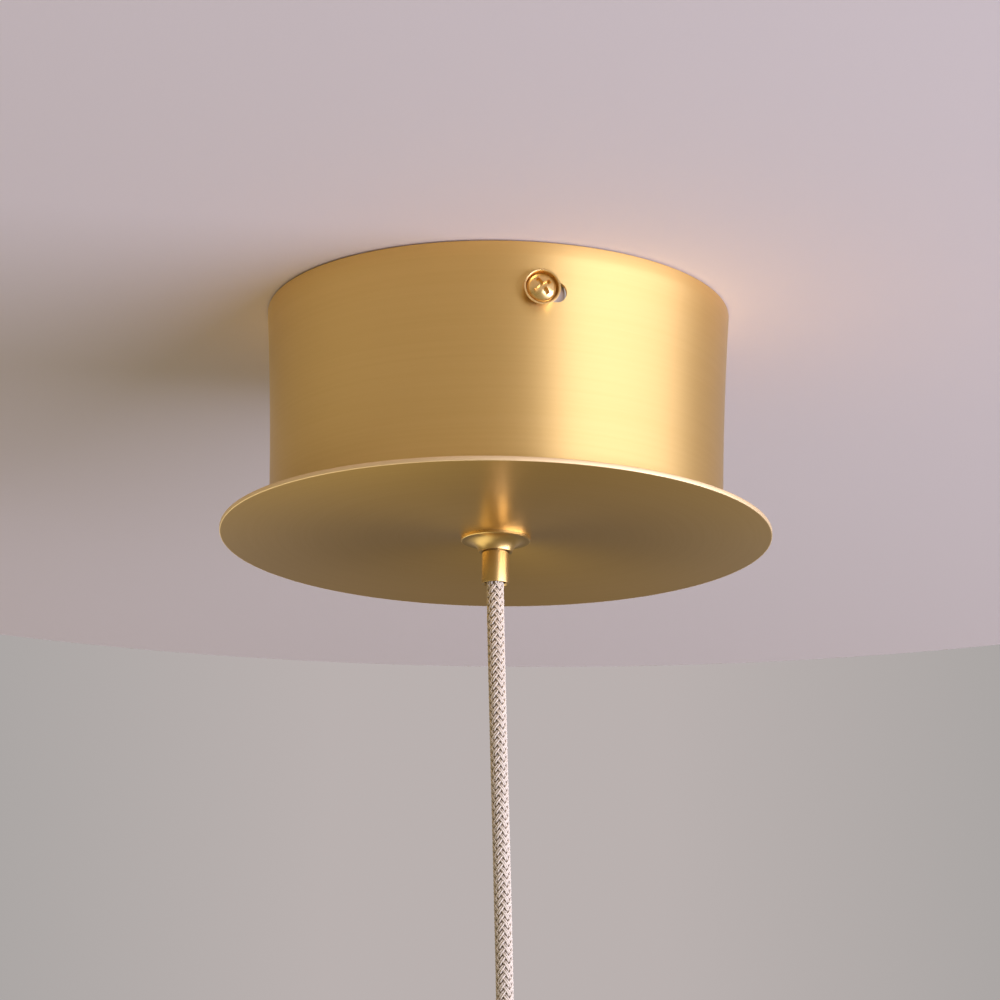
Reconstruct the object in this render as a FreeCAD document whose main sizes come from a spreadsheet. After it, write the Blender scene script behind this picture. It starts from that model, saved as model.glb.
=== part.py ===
"""Rise and fall pendant: a ceiling canopy with its bracket, cord clamp, wiring and cord.

Millimetres, +Z up. The origin is the middle of the ceiling bracket's upper face, on the ceiling, so the whole
pendant lies below it. The bracket runs along Y, and the side screw that shows from the front is at -Y.
"""

import FreeCAD
import Part
import Sketcher
import math
import os

from FreeCAD import Placement, Rotation, Vector

# ---------------------------------------------------------------------------------------------------------
# Driving dimensions. Each is one cell of the sheet, and everything below is worked out from them.
# ---------------------------------------------------------------------------------------------------------

DIMENSIONS = {
    # Canopy drum
    "cup_rim_d": 101.8,
    "cup_flare": 1.5,
    "cup_height": 49.4,
    "cup_wall": 1.0,
    "cup_corner": 0.8,
    "cup_inner_corner": 1.2,
    "ceiling_gap": 0.5,
    # Disc under the drum
    "disc_d": 120.0,
    "disc_thick": 1.0,
    "disc_edge": 0.15,
    # Gland: the trumpet below the disc and the threaded stem above it
    "stem_d": 10.0,
    "stem_above_floor": 7.0,
    "stem_bore": 5.2,
    "stem_chamfer": 0.5,
    "flange_d": 15.0,
    "flange_rim": 0.7,
    "flange_edge": 0.15,
    "trumpet_drop": 2.4,
    "trumpet_round": 3.3,
    "neck_d": 7.2,
    "gland_washer_d": 18.0,
    "gland_washer_thick": 0.8,
    "gland_nut_flats": 14.0,
    "gland_nut_thick": 3.0,
    # Cord clamp, the same at both ends of the cord
    "ferrule_d": 5.9,
    "ferrule_drop": 7.1,
    "ferrule_thread": 6.0,
    "ferrule_thread_len": 4.5,
    "ferrule_groove": 5.4,
    "ferrule_seam": 0.25,
    "ferrule_edge": 0.2,
    "ferrule_sink": 0.35,
    "cord_gap": 0.4,
    "collet_len": 4.4,
    "collet_straight": 1.8,
    "collet_split": 0.7,
    "collet_gap": 0.1,
    # Cord
    "cord_d": 3.8,
    "cord_lean_x": 3.05,
    "cord_lean_y": -0.53,
    "cord_drop": 94.8,
    "cord_straight": 5.0,
    "cord_above_stem": 5.0,
    "cord_tail": 16.2,
    "core_d": 1.3,
    "core_spread": 0.8,
    "core_arch": 11.0,
    "core_in_sleeve": 6.0,
    "lead_loop": 6.0,
    "lead_straight": 4.8,
    # Ceiling bracket
    "strap_width": 18.0,
    "strap_thick": 1.5,
    "strap_bend": 1.0,
    "strap_taper": 10.4,
    "cable_hole_d": 12.0,
    "fixing_spacing": 50.0,
    "fixing_slot": 10.0,
    "fixing_slot_width": 4.5,
    "lug_d": 11.2,
    "lug_neck": 9.0,
    "lug_gap": 0.9,
    "lug_spare": 2.0,
    # Side screws in their slots
    "side_screw_d": 4.0,
    "side_screw_len": 12.0,
    "side_screw_drop": 11.0,
    "side_slot_width": 4.5,
    "side_slot_travel": 3.5,
    "side_gap": 1.3,
    "lug_nut_flats": 7.0,
    "lug_nut_thick": 3.2,
    "head_d": 5.7,
    "head_side": 0.7,
    "head_dome": 1.1,
    "recess_span": 3.6,
    "recess_width": 0.9,
    "recess_depth": 1.1,
    "recess_turn": 36.0,
    "dish_d": 7.8,
    "dish_back_d": 6.6,
    "dish_lip": 0.3,
    "dish_deep": 1.6,
    "dish_sheet": 0.4,
    "dish_hole": 4.4,
    # Terminal block
    "block_inset": 21.4,
    "block_depth": 17.0,
    "block_pitch": 9.0,
    "tower_width": 7.6,
    "tower_height": 13.0,
    "web_height": 5.0,
    "ear_len": 8.0,
    "sleeve_d": 4.6,
    "sleeve_bore": 2.8,
    "sleeve_len": 15.0,
    "sleeve_rise": 6.2,
    "clamp_screw_d": 2.6,
    "clamp_screw_len": 5.2,
    "clamp_screw_step": 8.0,
    "clamp_screw_hole": 3.4,
    "clamp_screw_slot": 0.6,
    "clamp_screw_slot_deep": 0.8,
    # Studs on the drum's floor
    "block_stud_d": 3.0,
    "block_stud_len": 9.0,
    "block_nut_flats": 5.5,
    "block_nut_thick": 2.4,
    "earth_stud_d": 4.0,
    "earth_stud_len": 9.0,
    "earth_aside": 10.0,
    "earth_past_block": 8.2,
    "earth_washer_d": 9.0,
    "earth_washer_thick": 0.8,
    "earth_nut_flats": 7.0,
    "earth_nut_thick": 3.2,
    "ring_d": 8.0,
    "ring_thick": 0.8,
    "ring_barrel_d": 2.6,
    "ring_barrel_len": 5.0,
    "ring_barrel_start": 5.2,
    "stud_chamfer": 0.4,
    # Cord grip at the lamp end
    "grip_drop": 12.0,
    "nipple_bore": 7.0,
    "nipple_len": 14.0,
    "nipple_inside": 5.0,
    "nipple_groove": 0.5,
    "nipple_groove_deep": 0.4,
    "lamp_washer_d": 16.0,
    "lamp_washer_thick": 1.0,
    "lamp_nut_flats": 13.0,
    "lamp_nut_thick": 3.0,
    # Clearances
    "thread_gap": 0.05,
    "hole_gap": 0.1,
}

document = FreeCAD.newDocument("RiseAndFallPendant")
sheet = document.addObject("Spreadsheet::Sheet", "Sizes")
for row, (alias, number) in enumerate(DIMENSIONS.items(), start=1):
    sheet.set(f"A{row}", alias)
    sheet.set(f"B{row}", str(number))
    sheet.setAlias(f"B{row}", alias)
document.recompute()


class Size:
    """A length that knows its value now and the expression that the document keeps it by."""

    def __init__(self, value, text):
        self.value = float(value)
        self.text = text

    def joined(self, sign, other, value):
        return Size(value, f"({self.text} {sign} {as_size(other).text})")

    def __add__(self, other):
        return self.joined("+", other, self.value + as_size(other).value)

    def __sub__(self, other):
        return self.joined("-", other, self.value - as_size(other).value)

    def __mul__(self, other):
        return self.joined("*", other, self.value * as_size(other).value)

    def __truediv__(self, other):
        return self.joined("/", other, self.value / as_size(other).value)

    def __neg__(self):
        return Size(-self.value, f"(0 - {self.text})")

    def __rmul__(self, other):
        return as_size(other) * self


def as_size(number):
    return number if isinstance(number, Size) else Size(number, repr(float(number)))


def size(alias):
    """The named cell of the sheet."""
    return Size(sheet.get(alias), f"Sizes.{alias}")


def bind(thing, name, length):
    """Sets a property of an object and ties it to the sheet."""
    thing.setExpression(name, as_size(length).text)


# ---------------------------------------------------------------------------------------------------------
# Ways of making pieces
# ---------------------------------------------------------------------------------------------------------

LEFT, RIGHT = 1, -1  # the side of its straight way to which an arc swells
FRONT = Rotation(Vector(1, 0, 0), 90)  # a piece's own +Z looks out of the front, along -Y
REAR = Rotation(Vector(0, 0, 1), 180) * FRONT


def place(thing, x=0, y=0, z=0, rotation=None):
    """Puts an object somewhere, with its place tied to the sheet."""
    across, along, up = as_size(x), as_size(y), as_size(z)
    thing.Placement = Placement(Vector(across.value, along.value, up.value), rotation or Rotation())
    for axis, length in (("x", across), ("y", along), ("z", up)):
        thing.setExpression(f".Placement.Base.{axis}", length.text)
    return thing


def arc_between(start, end, radius, side):
    """The shorter arc from start to end, and whether it runs anticlockwise."""
    chord = end - start
    half = chord.Length / 2
    normal = Vector(-chord.y, chord.x, 0).normalize()
    centre = (start + end) / 2 - normal * side * math.sqrt(max(radius**2 - half**2, 0))
    first, last = (start, end) if side == RIGHT else (end, start)
    angles = [math.atan2(p.y - centre.y, p.x - centre.x) for p in (first, last)]
    if angles[1] < angles[0]:
        angles[1] += 2 * math.pi
    return Part.ArcOfCircle(Part.Circle(centre, Vector(0, 0, 1), radius), *angles), side == RIGHT


def pin(sketch, geometry, point, axis, length):
    """Ties one coordinate of a point in a sketch to the sheet."""
    length = as_size(length)
    if length.value == 0:
        line = -2 if axis == "X" else -1
        sketch.addConstraint(Sketcher.Constraint("PointOnObject", geometry, point, line))
        return
    index = sketch.addConstraint(
        Sketcher.Constraint(f"Distance{axis}", -1, 1, geometry, point, length.value)
    )
    sketch.setExpression(f"Constraints[{index}]", length.text)


def draw(sketch, corners):
    """A closed outline. A corner is (across, up), or (across, up, radius, side) if an arc leaves it."""
    points = [Vector(as_size(c[0]).value, as_size(c[1]).value, 0) for c in corners]
    ends = []
    for corner, start, end in zip(corners, points, points[1:] + points[:1]):
        if len(corner) == 2:
            ends.append((sketch.addGeometry(Part.LineSegment(start, end)), 1, 2))
        else:
            arc, anticlockwise = arc_between(start, end, as_size(corner[2]).value, corner[3])
            into, out = (1, 2) if anticlockwise else (2, 1)
            ends.append((sketch.addGeometry(arc), into, out))
    for (edge, _, out), (following, into, _) in zip(ends, ends[1:] + ends[:1]):
        sketch.addConstraint(Sketcher.Constraint("Coincident", edge, out, following, into))
    for corner, (edge, into, _), start, end in zip(corners, ends, points, points[1:] + points[:1]):
        pin(sketch, edge, into, "X", corner[0])
        pin(sketch, edge, into, "Y", corner[1])
        if len(corner) == 2:
            continue
        half_turn = abs((end - start).Length - 2 * as_size(corner[2]).value) < 1e-6
        if half_turn:
            upright = abs(end.x - start.x) < 1e-6
            pin(sketch, edge, 3, "X" if upright else "Y", corner[0] if upright else corner[1])
        else:
            index = sketch.addConstraint(Sketcher.Constraint("Radius", edge, as_size(corner[2]).value))
            sketch.setExpression(f"Constraints[{index}]", as_size(corner[2]).text)


def draw_circle(sketch, across, up, radius):
    centre = Vector(as_size(across).value, as_size(up).value, 0)
    edge = sketch.addGeometry(Part.Circle(centre, Vector(0, 0, 1), as_size(radius).value))
    pin(sketch, edge, 3, "X", across)
    pin(sketch, edge, 3, "Y", up)
    index = sketch.addConstraint(Sketcher.Constraint("Radius", edge, as_size(radius).value))
    sketch.setExpression(f"Constraints[{index}]", as_size(radius).text)


def slot_outline(across, up, travel, width, upright=False):
    """A slot's outline about its middle. Travel is between the centres of its round ends."""
    run, half = travel / 2, width / 2
    if upright:
        return [
            (across + half, up - run),
            (across + half, up + run, half, RIGHT),
            (across - half, up + run),
            (across - half, up - run, half, RIGHT),
        ]
    return [
        (across - run, up - half),
        (across + run, up - half, half, RIGHT),
        (across + run, up + half),
        (across - run, up + half, half, RIGHT),
    ]


def new_body(label):
    body = document.addObject("PartDesign::Body", label)
    body.Label = label
    return body


def new_sketch(body, role, offset=0, turn=0):
    """A sketch on one of the body's own planes, moved out along the plane's normal."""
    sketch = body.newObject("Sketcher::SketchObject", f"{body.Name}_outline")
    plane = next(p for p in body.Origin.OriginFeatures if p.Role == role)
    sketch.AttachmentSupport = [(plane, "")]
    sketch.MapMode = "FlatFace"
    sketch.AttachmentOffset = Placement(
        Vector(0, 0, as_size(offset).value), Rotation(Vector(0, 0, 1), as_size(turn).value)
    )
    sketch.setExpression(".AttachmentOffset.Base.z", as_size(offset).text)
    if isinstance(turn, Size):
        sketch.setExpression(".AttachmentOffset.Rotation.Angle", turn.text)
    return sketch


def revolve(body, corners):
    """Turns an outline, given as (radius, height), about the body's Z axis."""
    sketch = new_sketch(body, "XZ_Plane")
    draw(sketch, corners)
    turned_solid = body.newObject("PartDesign::Revolution", f"{body.Name}_turned")
    turned_solid.Profile = sketch
    turned_solid.ReferenceAxis = (sketch, ["V_Axis"])
    turned_solid.Angle = 360
    document.recompute()


def turned(label, corners, **where):
    """A piece made on a lathe about its own Z axis."""
    body = new_body(label)
    revolve(body, corners)
    return place(body, **where)


def pad(body, sketch, length):
    """Thickens a sketch by half the length to each side of its plane."""
    feature = body.newObject("PartDesign::Pad", f"{body.Name}_pad")
    feature.Profile = sketch
    feature.Midplane = True
    bind(feature, "Length", length)
    document.recompute()


def pocket(body, sketch, depth=None, reverse=False):
    """Cuts a sketch's outline out of the body: to a depth, or both ways through everything."""
    volume = body.Shape.Volume
    feature = body.newObject("PartDesign::Pocket", f"{body.Name}_pocket")
    feature.Profile = sketch
    if depth is None:
        feature.Type = "ThroughAll"
        feature.Midplane = True
    else:
        bind(feature, "Length", depth)
        feature.Reversed = reverse
    document.recompute()
    if body.Shape.Volume > volume - 1e-3:
        raise RuntimeError(f"a pocket in {body.Label} cuts nothing")
    return feature


def half_turn_pattern(body, feature):
    """Repeats a feature on the opposite side of the body's Z axis."""
    pattern = body.newObject("PartDesign::PolarPattern", f"{body.Name}_pattern")
    pattern.Originals = [feature]
    pattern.Axis = (next(p for p in body.Origin.OriginFeatures if p.Role == "Z_Axis"), [""])
    pattern.Angle = 360
    pattern.Occurrences = 2
    body.Tip = pattern
    document.recompute()


def hexagon_nut(label, flats, bore_radius, thick, **where):
    """A hexagon nut about its own Z axis, with its corners turned off at both ends."""
    corner = flats / math.sqrt(3)
    bevel = (corner - flats / 2) * 0.6
    prism = document.addObject("Part::Prism", f"{label}_prism")
    prism.Polygon = 6
    bind(prism, "Circumradius", corner)
    bind(prism, "Height", thick)
    blank = turned(
        f"{label}_blank",
        [
            (bore_radius, 0),
            (flats / 2, 0),
            (corner, bevel),
            (corner, thick - bevel),
            (flats / 2, thick),
            (bore_radius, thick),
        ],
    )
    nut = document.addObject("Part::MultiCommon", label)
    nut.Shapes = [prism, blank]
    nut.Label = label
    return place(nut, **where)


def group(label, pieces):
    """Identical pieces that share one node."""
    compound = document.addObject("Part::Compound", label)
    compound.Links = pieces
    compound.Label = label
    return compound


def route_wire(points):
    """Straight runs joined by tangent arcs that take 0.45 of the shorter run beside each point."""
    edges, radii, start = [], [], points[0]
    for before, here, after in zip(points, points[1:], points[2:]):
        back, ahead = before - here, after - here
        reach = 0.45 * min(back.Length, ahead.Length)
        half_turn = (math.pi - back.getAngle(ahead)) / 2
        radii.append(reach / math.tan(half_turn))
        back.normalize()
        ahead.normalize()
        inward = (back + ahead).normalize()
        centre = here + inward * math.hypot(reach, radii[-1])
        middle = centre - inward * radii[-1]
        edges.append(Part.LineSegment(start, here + back * reach).toShape())
        edges.append(Part.Arc(here + back * reach, middle, here + ahead * reach).toShape())
        start = here + ahead * reach
    edges.append(Part.LineSegment(start, points[-1]).toShape())
    return Part.Wire(edges), radii


def tube(label, points, diameter):
    """A cord or core along its route."""
    wire, radii = route_wire(points)
    first = points[1] - points[0]
    section = Part.Wire(Part.makeCircle(diameter / 2, points[0], first))
    solid = wire.makePipeShell([section], True, False)
    expected = math.pi * diameter**2 / 4 * wire.Length
    print(f"{label}: length {wire.Length:.1f}, radii {[round(r, 1) for r in radii]}")
    if abs(solid.Volume - expected) > 0.02 * expected:
        raise RuntimeError(f"{label} has volume {solid.Volume:.1f} where {expected:.1f} is due")
    feature = document.addObject("Part::Feature", label)
    feature.Shape = solid
    feature.Placement = Placement()
    feature.Label = label
    return feature


# ---------------------------------------------------------------------------------------------------------
# Levels, from the ceiling down, and radii that several pieces share
# ---------------------------------------------------------------------------------------------------------

thread_gap, hole_gap = size("thread_gap"), size("hole_gap")
rim_z = -size("ceiling_gap")
floor_under = rim_z - size("cup_height")
floor_top = floor_under + size("cup_wall")
disc_under = floor_under - size("disc_thick")
stem_top = floor_top + size("stem_above_floor")
neck_z = disc_under - size("flange_rim") - size("trumpet_drop")
mouth_z = neck_z - size("ferrule_drop")
collet_z = neck_z + size("ferrule_thread_len")
screw_z = -size("side_screw_drop")
lamp_mouth_z = mouth_z - size("cord_drop")
sleeve_z = floor_top + size("sleeve_rise")

stem_r, cord_r = size("stem_d") / 2, size("cord_d") / 2
stem_hole_r = stem_r + hole_gap
clamp_r = size("ferrule_thread") / 2 + thread_gap
cord_bore_r = cord_r + size("cord_gap")

rim_r, cup_corner = size("cup_rim_d") / 2, size("cup_corner")
floor_r = rim_r - size("cup_flare")
wall_rise = (screw_z - floor_under - cup_corner) / (rim_z - floor_under - cup_corner)
wall_at_screw = floor_r + size("cup_flare") * wall_rise * wall_rise
lug_face = wall_at_screw - size("cup_wall") - size("lug_gap")


# ---------------------------------------------------------------------------------------------------------
# Ceiling bracket, with the weld nuts of its side screws
# ---------------------------------------------------------------------------------------------------------


def make_bracket():
    """A strap along Y, bent down at both ends into a round lug for the side screw."""
    face, thick, inner = lug_face, size("strap_thick"), size("strap_bend")
    outer = inner + thick
    lug_r, neck, half = size("lug_d") / 2, size("lug_neck") / 2, size("strap_width") / 2
    lug_low = screw_z - lug_r
    blank_low = lug_low - size("lug_spare")
    body = new_body("ceiling_bracket")
    profile = new_sketch(body, "YZ_Plane")
    draw(
        profile,
        [
            (-face, blank_low),
            (thick - face, blank_low),
            (thick - face, -outer, inner, LEFT),
            (outer - face, -thick),
            (face - outer, -thick, inner, LEFT),
            (face - thick, -outer),
            (face - thick, blank_low),
            (face, blank_low),
            (face, -outer, outer, RIGHT),
            (face - outer, 0),
            (outer - face, 0, outer, RIGHT),
            (-face, -outer),
        ],
    )
    pad(body, profile, half * 2)

    meet = Size(
        screw_z.value + math.sqrt(lug_r.value**2 - neck.value**2),
        f"({screw_z.text} + sqrt({lug_r.text} ^ 2 - {neck.text} ^ 2))",
    )
    lugs = new_sketch(body, "XZ_Plane")
    draw(
        lugs,
        [
            (-2 * half, -outer),
            (-2 * half, blank_low - lug_r),
            (2 * half, blank_low - lug_r),
            (2 * half, -outer),
            (neck, -outer),
            (neck, meet, lug_r, LEFT),
            (0, lug_low, lug_r, LEFT),
            (-neck, meet),
            (-neck, -outer),
        ],
    )
    pocket(body, lugs)

    shoulders = new_sketch(body, "XY_Plane")
    shoulder, beyond = face - size("strap_taper"), face * 2
    for side in (-1, 1):
        for end in (-1, 1):
            draw(
                shoulders,
                [
                    (side * neck, end * beyond),
                    (side * half * 2, end * beyond),
                    (side * half * 2, end * shoulder),
                    (side * half, end * shoulder),
                    (side * neck, end * (shoulder + half - neck)),
                ],
            )
    pocket(body, shoulders, outer)

    holes = new_sketch(body, "XY_Plane")
    draw_circle(holes, 0, 0, size("cable_hole_d") / 2)
    slot_width = size("fixing_slot_width")
    for end in (-1, 1):
        middle = end * size("fixing_spacing") / 2
        draw(holes, slot_outline(as_size(0), middle, size("fixing_slot") - slot_width, slot_width, True))
    pocket(body, holes)

    screw_holes = new_sketch(body, "XZ_Plane")
    draw_circle(screw_holes, 0, screw_z, size("side_screw_d") / 2 + thread_gap)
    pocket(body, screw_holes)
    return body


def make_lug_nuts():
    """One weld nut behind each lug."""
    inside = lug_face - size("strap_thick")
    bore = size("side_screw_d") / 2 + thread_gap
    nuts = [
        hexagon_nut(
            f"lug_nut_{name}",
            size("lug_nut_flats"),
            bore,
            size("lug_nut_thick"),
            y=way * inside,
            z=screw_z,
            rotation=rotation,
        )
        for name, way, rotation in (("front", -1, REAR), ("rear", 1, FRONT))
    ]
    return group("lug_nuts", nuts)


# ---------------------------------------------------------------------------------------------------------
# Canopy: drum, disc and gland
# ---------------------------------------------------------------------------------------------------------


def flare_radius(rise, swell):
    """The radius of an arc that starts upright and leans out by swell over its rise."""
    return (rise * rise + swell * swell) / (2 * swell)


def make_cup():
    """The drawn drum: a floor, a wall that flares to its rim, and two slots for the side screws."""
    wall, inner = size("cup_wall"), size("cup_inner_corner")
    swell = size("cup_flare")
    outer_rise = rim_z - floor_under - cup_corner
    inner_rise = rim_z - floor_top - inner
    body = new_body("canopy_cup")
    revolve(
        body,
        [
            (stem_hole_r, floor_under),
            (floor_r - cup_corner, floor_under, cup_corner, RIGHT),
            (floor_r, floor_under + cup_corner, flare_radius(outer_rise, swell), LEFT),
            (rim_r, rim_z),
            (rim_r - wall, rim_z, flare_radius(inner_rise, swell), RIGHT),
            (floor_r - wall, floor_top + inner, inner, LEFT),
            (floor_r - wall - inner, floor_top),
            (stem_hole_r, floor_top),
        ],
    )
    slots = new_sketch(body, "XZ_Plane")
    travel = size("side_slot_travel")
    draw(slots, slot_outline(travel / 2, screw_z, travel, size("side_slot_width")))
    front_slot = pocket(body, slots, rim_r * 2, reverse=True)
    half_turn_pattern(body, front_slot)
    return body


def make_disc():
    """The thin spun disc that the gland clamps under the drum."""
    disc_r, edge = size("disc_d") / 2, size("disc_edge")
    return turned(
        "base_disc",
        [
            (stem_hole_r, disc_under),
            (disc_r - edge, disc_under),
            (disc_r, disc_under + edge),
            (disc_r, floor_under - edge),
            (disc_r - edge, floor_under),
            (stem_hole_r, floor_under),
        ],
    )


def make_gland():
    """Trumpet flange below the disc, threaded stem above it, and the clamp's tapered seat inside."""
    bore_r, chamfer = size("stem_bore") / 2, size("stem_chamfer")
    flange_r, edge = size("flange_d") / 2, size("flange_edge")
    flange_z = disc_under - size("flange_rim")
    return turned(
        "cord_gland",
        [
            (clamp_r, neck_z),
            (size("neck_d") / 2, neck_z, size("trumpet_round"), LEFT),
            (flange_r - edge, flange_z),
            (flange_r, flange_z + edge),
            (flange_r, disc_under),
            (stem_r, disc_under),
            (stem_r, stem_top - chamfer),
            (stem_r - chamfer, stem_top),
            (bore_r, stem_top),
            (bore_r, collet_z + size("collet_len")),
            (clamp_r, collet_z + size("collet_straight")),
        ],
    )


def make_gland_washer():
    thick, washer_r = size("gland_washer_thick"), size("gland_washer_d") / 2
    return turned(
        "gland_washer",
        [(stem_hole_r, 0), (washer_r, 0), (washer_r, thick), (stem_hole_r, thick)],
        z=floor_top,
    )


def make_gland_nut():
    return hexagon_nut(
        "gland_nut",
        size("gland_nut_flats"),
        stem_r + thread_gap,
        size("gland_nut_thick"),
        z=floor_top + size("gland_washer_thick"),
    )


# ---------------------------------------------------------------------------------------------------------
# Cord clamp: a ferrule and its split collet, drawn upward from the ferrule's mouth
# ---------------------------------------------------------------------------------------------------------

neck_up = size("ferrule_drop")
collet_up = neck_up + size("ferrule_thread_len")


def make_ferrule(label, **where):
    """A small tube with a countersunk mouth, a groove at its shoulder and a thread above it."""
    outside, edge, sink = size("ferrule_d") / 2, size("ferrule_edge"), size("ferrule_sink")
    seam, groove = size("ferrule_seam"), size("ferrule_groove") / 2
    thread = size("ferrule_thread") / 2
    return turned(
        label,
        [
            (cord_bore_r + sink, 0),
            (outside - edge, 0),
            (outside, edge),
            (outside, neck_up - seam),
            (groove, neck_up - seam),
            (groove, neck_up + seam),
            (thread, neck_up + seam),
            (thread, collet_up - edge),
            (thread - edge, collet_up),
            (cord_bore_r, collet_up),
            (cord_bore_r, sink),
        ],
        **where,
    )


def make_collet(label, **where):
    """A split nylon cone round the cord, which the ferrule pushes into a tapered seat."""
    bore, wide = cord_r + size("collet_gap"), clamp_r - size("collet_gap")
    tip = size("stem_bore") / 2 - size("collet_gap")
    top = collet_up + size("collet_len")
    cone = turned(
        f"{label}_cone",
        [
            (bore, collet_up),
            (wide, collet_up),
            (wide, collet_up + size("collet_straight")),
            (tip, top),
            (bore, top),
        ],
    )
    split = document.addObject("Part::Box", f"{label}_split")
    bind(split, "Length", wide * 2)
    bind(split, "Width", size("collet_split"))
    bind(split, "Height", top)
    place(split, y=-size("collet_split") / 2)
    collet = document.addObject("Part::Cut", label)
    collet.Base = cone
    collet.Tool = split
    collet.Label = label
    return place(collet, **where)


# ---------------------------------------------------------------------------------------------------------
# Side screws, drawn with +Z out of the drum from the washer's back
# ---------------------------------------------------------------------------------------------------------

washer_back = wall_at_screw + size("side_gap")


def make_side_washer(label, **where):
    """A dished washer with a turned-up rim."""
    hole, back, rim = size("dish_hole") / 2, size("dish_back_d") / 2, size("dish_d") / 2
    sheet_metal, deep = size("dish_sheet"), size("dish_deep")
    return turned(
        label,
        [
            (hole, 0),
            (back, 0),
            (rim, deep - size("dish_lip")),
            (rim, deep),
            (rim - sheet_metal, deep),
            (back - sheet_metal / 2, sheet_metal),
            (hole, sheet_metal),
        ],
        **where,
    )


def make_side_screw(label, **where):
    """A domed screw with a cross recess, standing in the washer's dish."""
    under = size("dish_sheet")
    shank, head = size("side_screw_d") / 2, size("head_d") / 2
    side, dome = size("head_side"), size("head_dome")
    tip, chamfer = under - size("side_screw_len"), size("stud_chamfer")
    top = under + side + dome
    body = new_body(label)
    revolve(
        body,
        [
            (0, tip),
            (shank - chamfer, tip),
            (shank, tip + chamfer),
            (shank, under),
            (head, under),
            (head, under + side, (head * head + dome * dome) / (2 * dome), RIGHT),
            (0, top),
        ],
    )
    arm, half = size("recess_span") / 2, size("recess_width") / 2
    recess = new_sketch(body, "XY_Plane", offset=top, turn=size("recess_turn"))
    draw(
        recess,
        [
            (half, half),
            (half, arm),
            (-half, arm),
            (-half, half),
            (-arm, half),
            (-arm, -half),
            (-half, -half),
            (-half, -arm),
            (half, -arm),
            (half, -half),
            (arm, -half),
            (arm, half),
        ],
    )
    pocket(body, recess, size("recess_depth"))
    return place(body, **where)


# ---------------------------------------------------------------------------------------------------------
# Terminal block on the drum's floor
# ---------------------------------------------------------------------------------------------------------

block_x = floor_r - size("block_inset")
poles ={"neutral": -size("block_pitch"), "earth": as_size(0), "live": size("block_pitch")}
base_half = size("block_pitch") + size("tower_width") / 2
ear_middle = base_half + size("ear_len") / 2
ALONG_X = Rotation(Vector(0, 1, 0), 90)  # a piece's own +Z points along +X, and its -X points up


def make_terminal_housing():
    """A base with three towers, an ear at each end, and bores for the sleeves and their screws."""
    web, tall, tower = size("web_height"), size("tower_height"), size("tower_width") / 2
    end = base_half + size("ear_len")
    body = new_body("terminal_housing")
    profile = new_sketch(body, "YZ_Plane")
    corners = [(-end, 0), (end, 0), (end, web)]
    for middle in reversed(list(poles.values())):
        corners += [
            (middle + tower, web),
            (middle + tower, tall),
            (middle - tower, tall),
            (middle - tower, web),
        ]
    draw(profile, corners + [(-end, web)])
    pad(body, profile, size("block_depth"))

    bores = new_sketch(body, "YZ_Plane")
    wells = new_sketch(body, "XY_Plane", offset=tall)
    for middle in poles.values():
        draw_circle(bores, middle, size("sleeve_rise"), size("sleeve_d") / 2 + hole_gap)
        for side in (-1, 1):
            draw_circle(
                wells, side * size("clamp_screw_step") / 2, middle, size("clamp_screw_hole") / 2
            )
    pocket(body, bores)
    pocket(body, wells, tall - size("sleeve_rise"))

    fixings = new_sketch(body, "XY_Plane")
    for side in (-1, 1):
        draw_circle(fixings, 0, side * ear_middle, size("block_stud_d") / 2 + hole_gap)
    pocket(body, fixings)
    return place(body, x=block_x, z=floor_top)


def make_sleeve(name, along):
    """A brass sleeve along X with two tapped holes in its top."""
    half, outside, bore = size("sleeve_len") / 2, size("sleeve_d") / 2, size("sleeve_bore") / 2
    body = new_body(f"sleeve_{name}")
    revolve(body, [(bore, -half), (outside, -half), (outside, half), (bore, half)])
    holes = new_sketch(body, "YZ_Plane")
    for side in (-1, 1):
        draw_circle(
            holes, 0, side * size("clamp_screw_step") / 2, size("clamp_screw_d") / 2 + thread_gap
        )
    pocket(body, holes, outside * 2)
    return place(body, x=block_x, y=along, z=sleeve_z, rotation=ALONG_X)


def make_clamp_screw(name, across, along):
    """A slotted grub screw that ends just above the core."""
    screw_r, tall = size("clamp_screw_d") / 2, size("clamp_screw_len")
    body = new_body(f"clamp_screw_{name}")
    revolve(body, [(0, 0), (screw_r, 0), (screw_r, tall), (0, tall)])
    slot = new_sketch(body, "XY_Plane", offset=tall)
    half = size("clamp_screw_slot") / 2
    reach = screw_r * 2
    draw(slot, [(-reach, -half), (reach, -half), (reach, half), (-reach, half)])
    pocket(body, slot, size("clamp_screw_slot_deep"))
    return place(body, x=across, y=along, z=sleeve_z + size("core_d") / 2 + hole_gap)


def make_terminal_metal():
    sleeves = [make_sleeve(name, along) for name, along in poles.items()]
    step = size("clamp_screw_step") / 2
    screws = [
        make_clamp_screw(f"{name}_{end}", block_x + side * step, along)
        for name, along in poles.items()
        for end, side in (("cord", -1), ("supply", 1))
    ]
    return [group("terminal_sleeves", sleeves), group("terminal_screws", screws)]


def make_stud(label, diameter, length, **where):
    """A weld stud that stands on the drum's floor."""
    chamfer = size("stud_chamfer")
    radius = diameter / 2
    return turned(
        label,
        [(0, 0), (radius, 0), (radius, length - chamfer), (radius - chamfer, length), (0, length)],
        z=floor_top,
        **where,
    )


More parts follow.
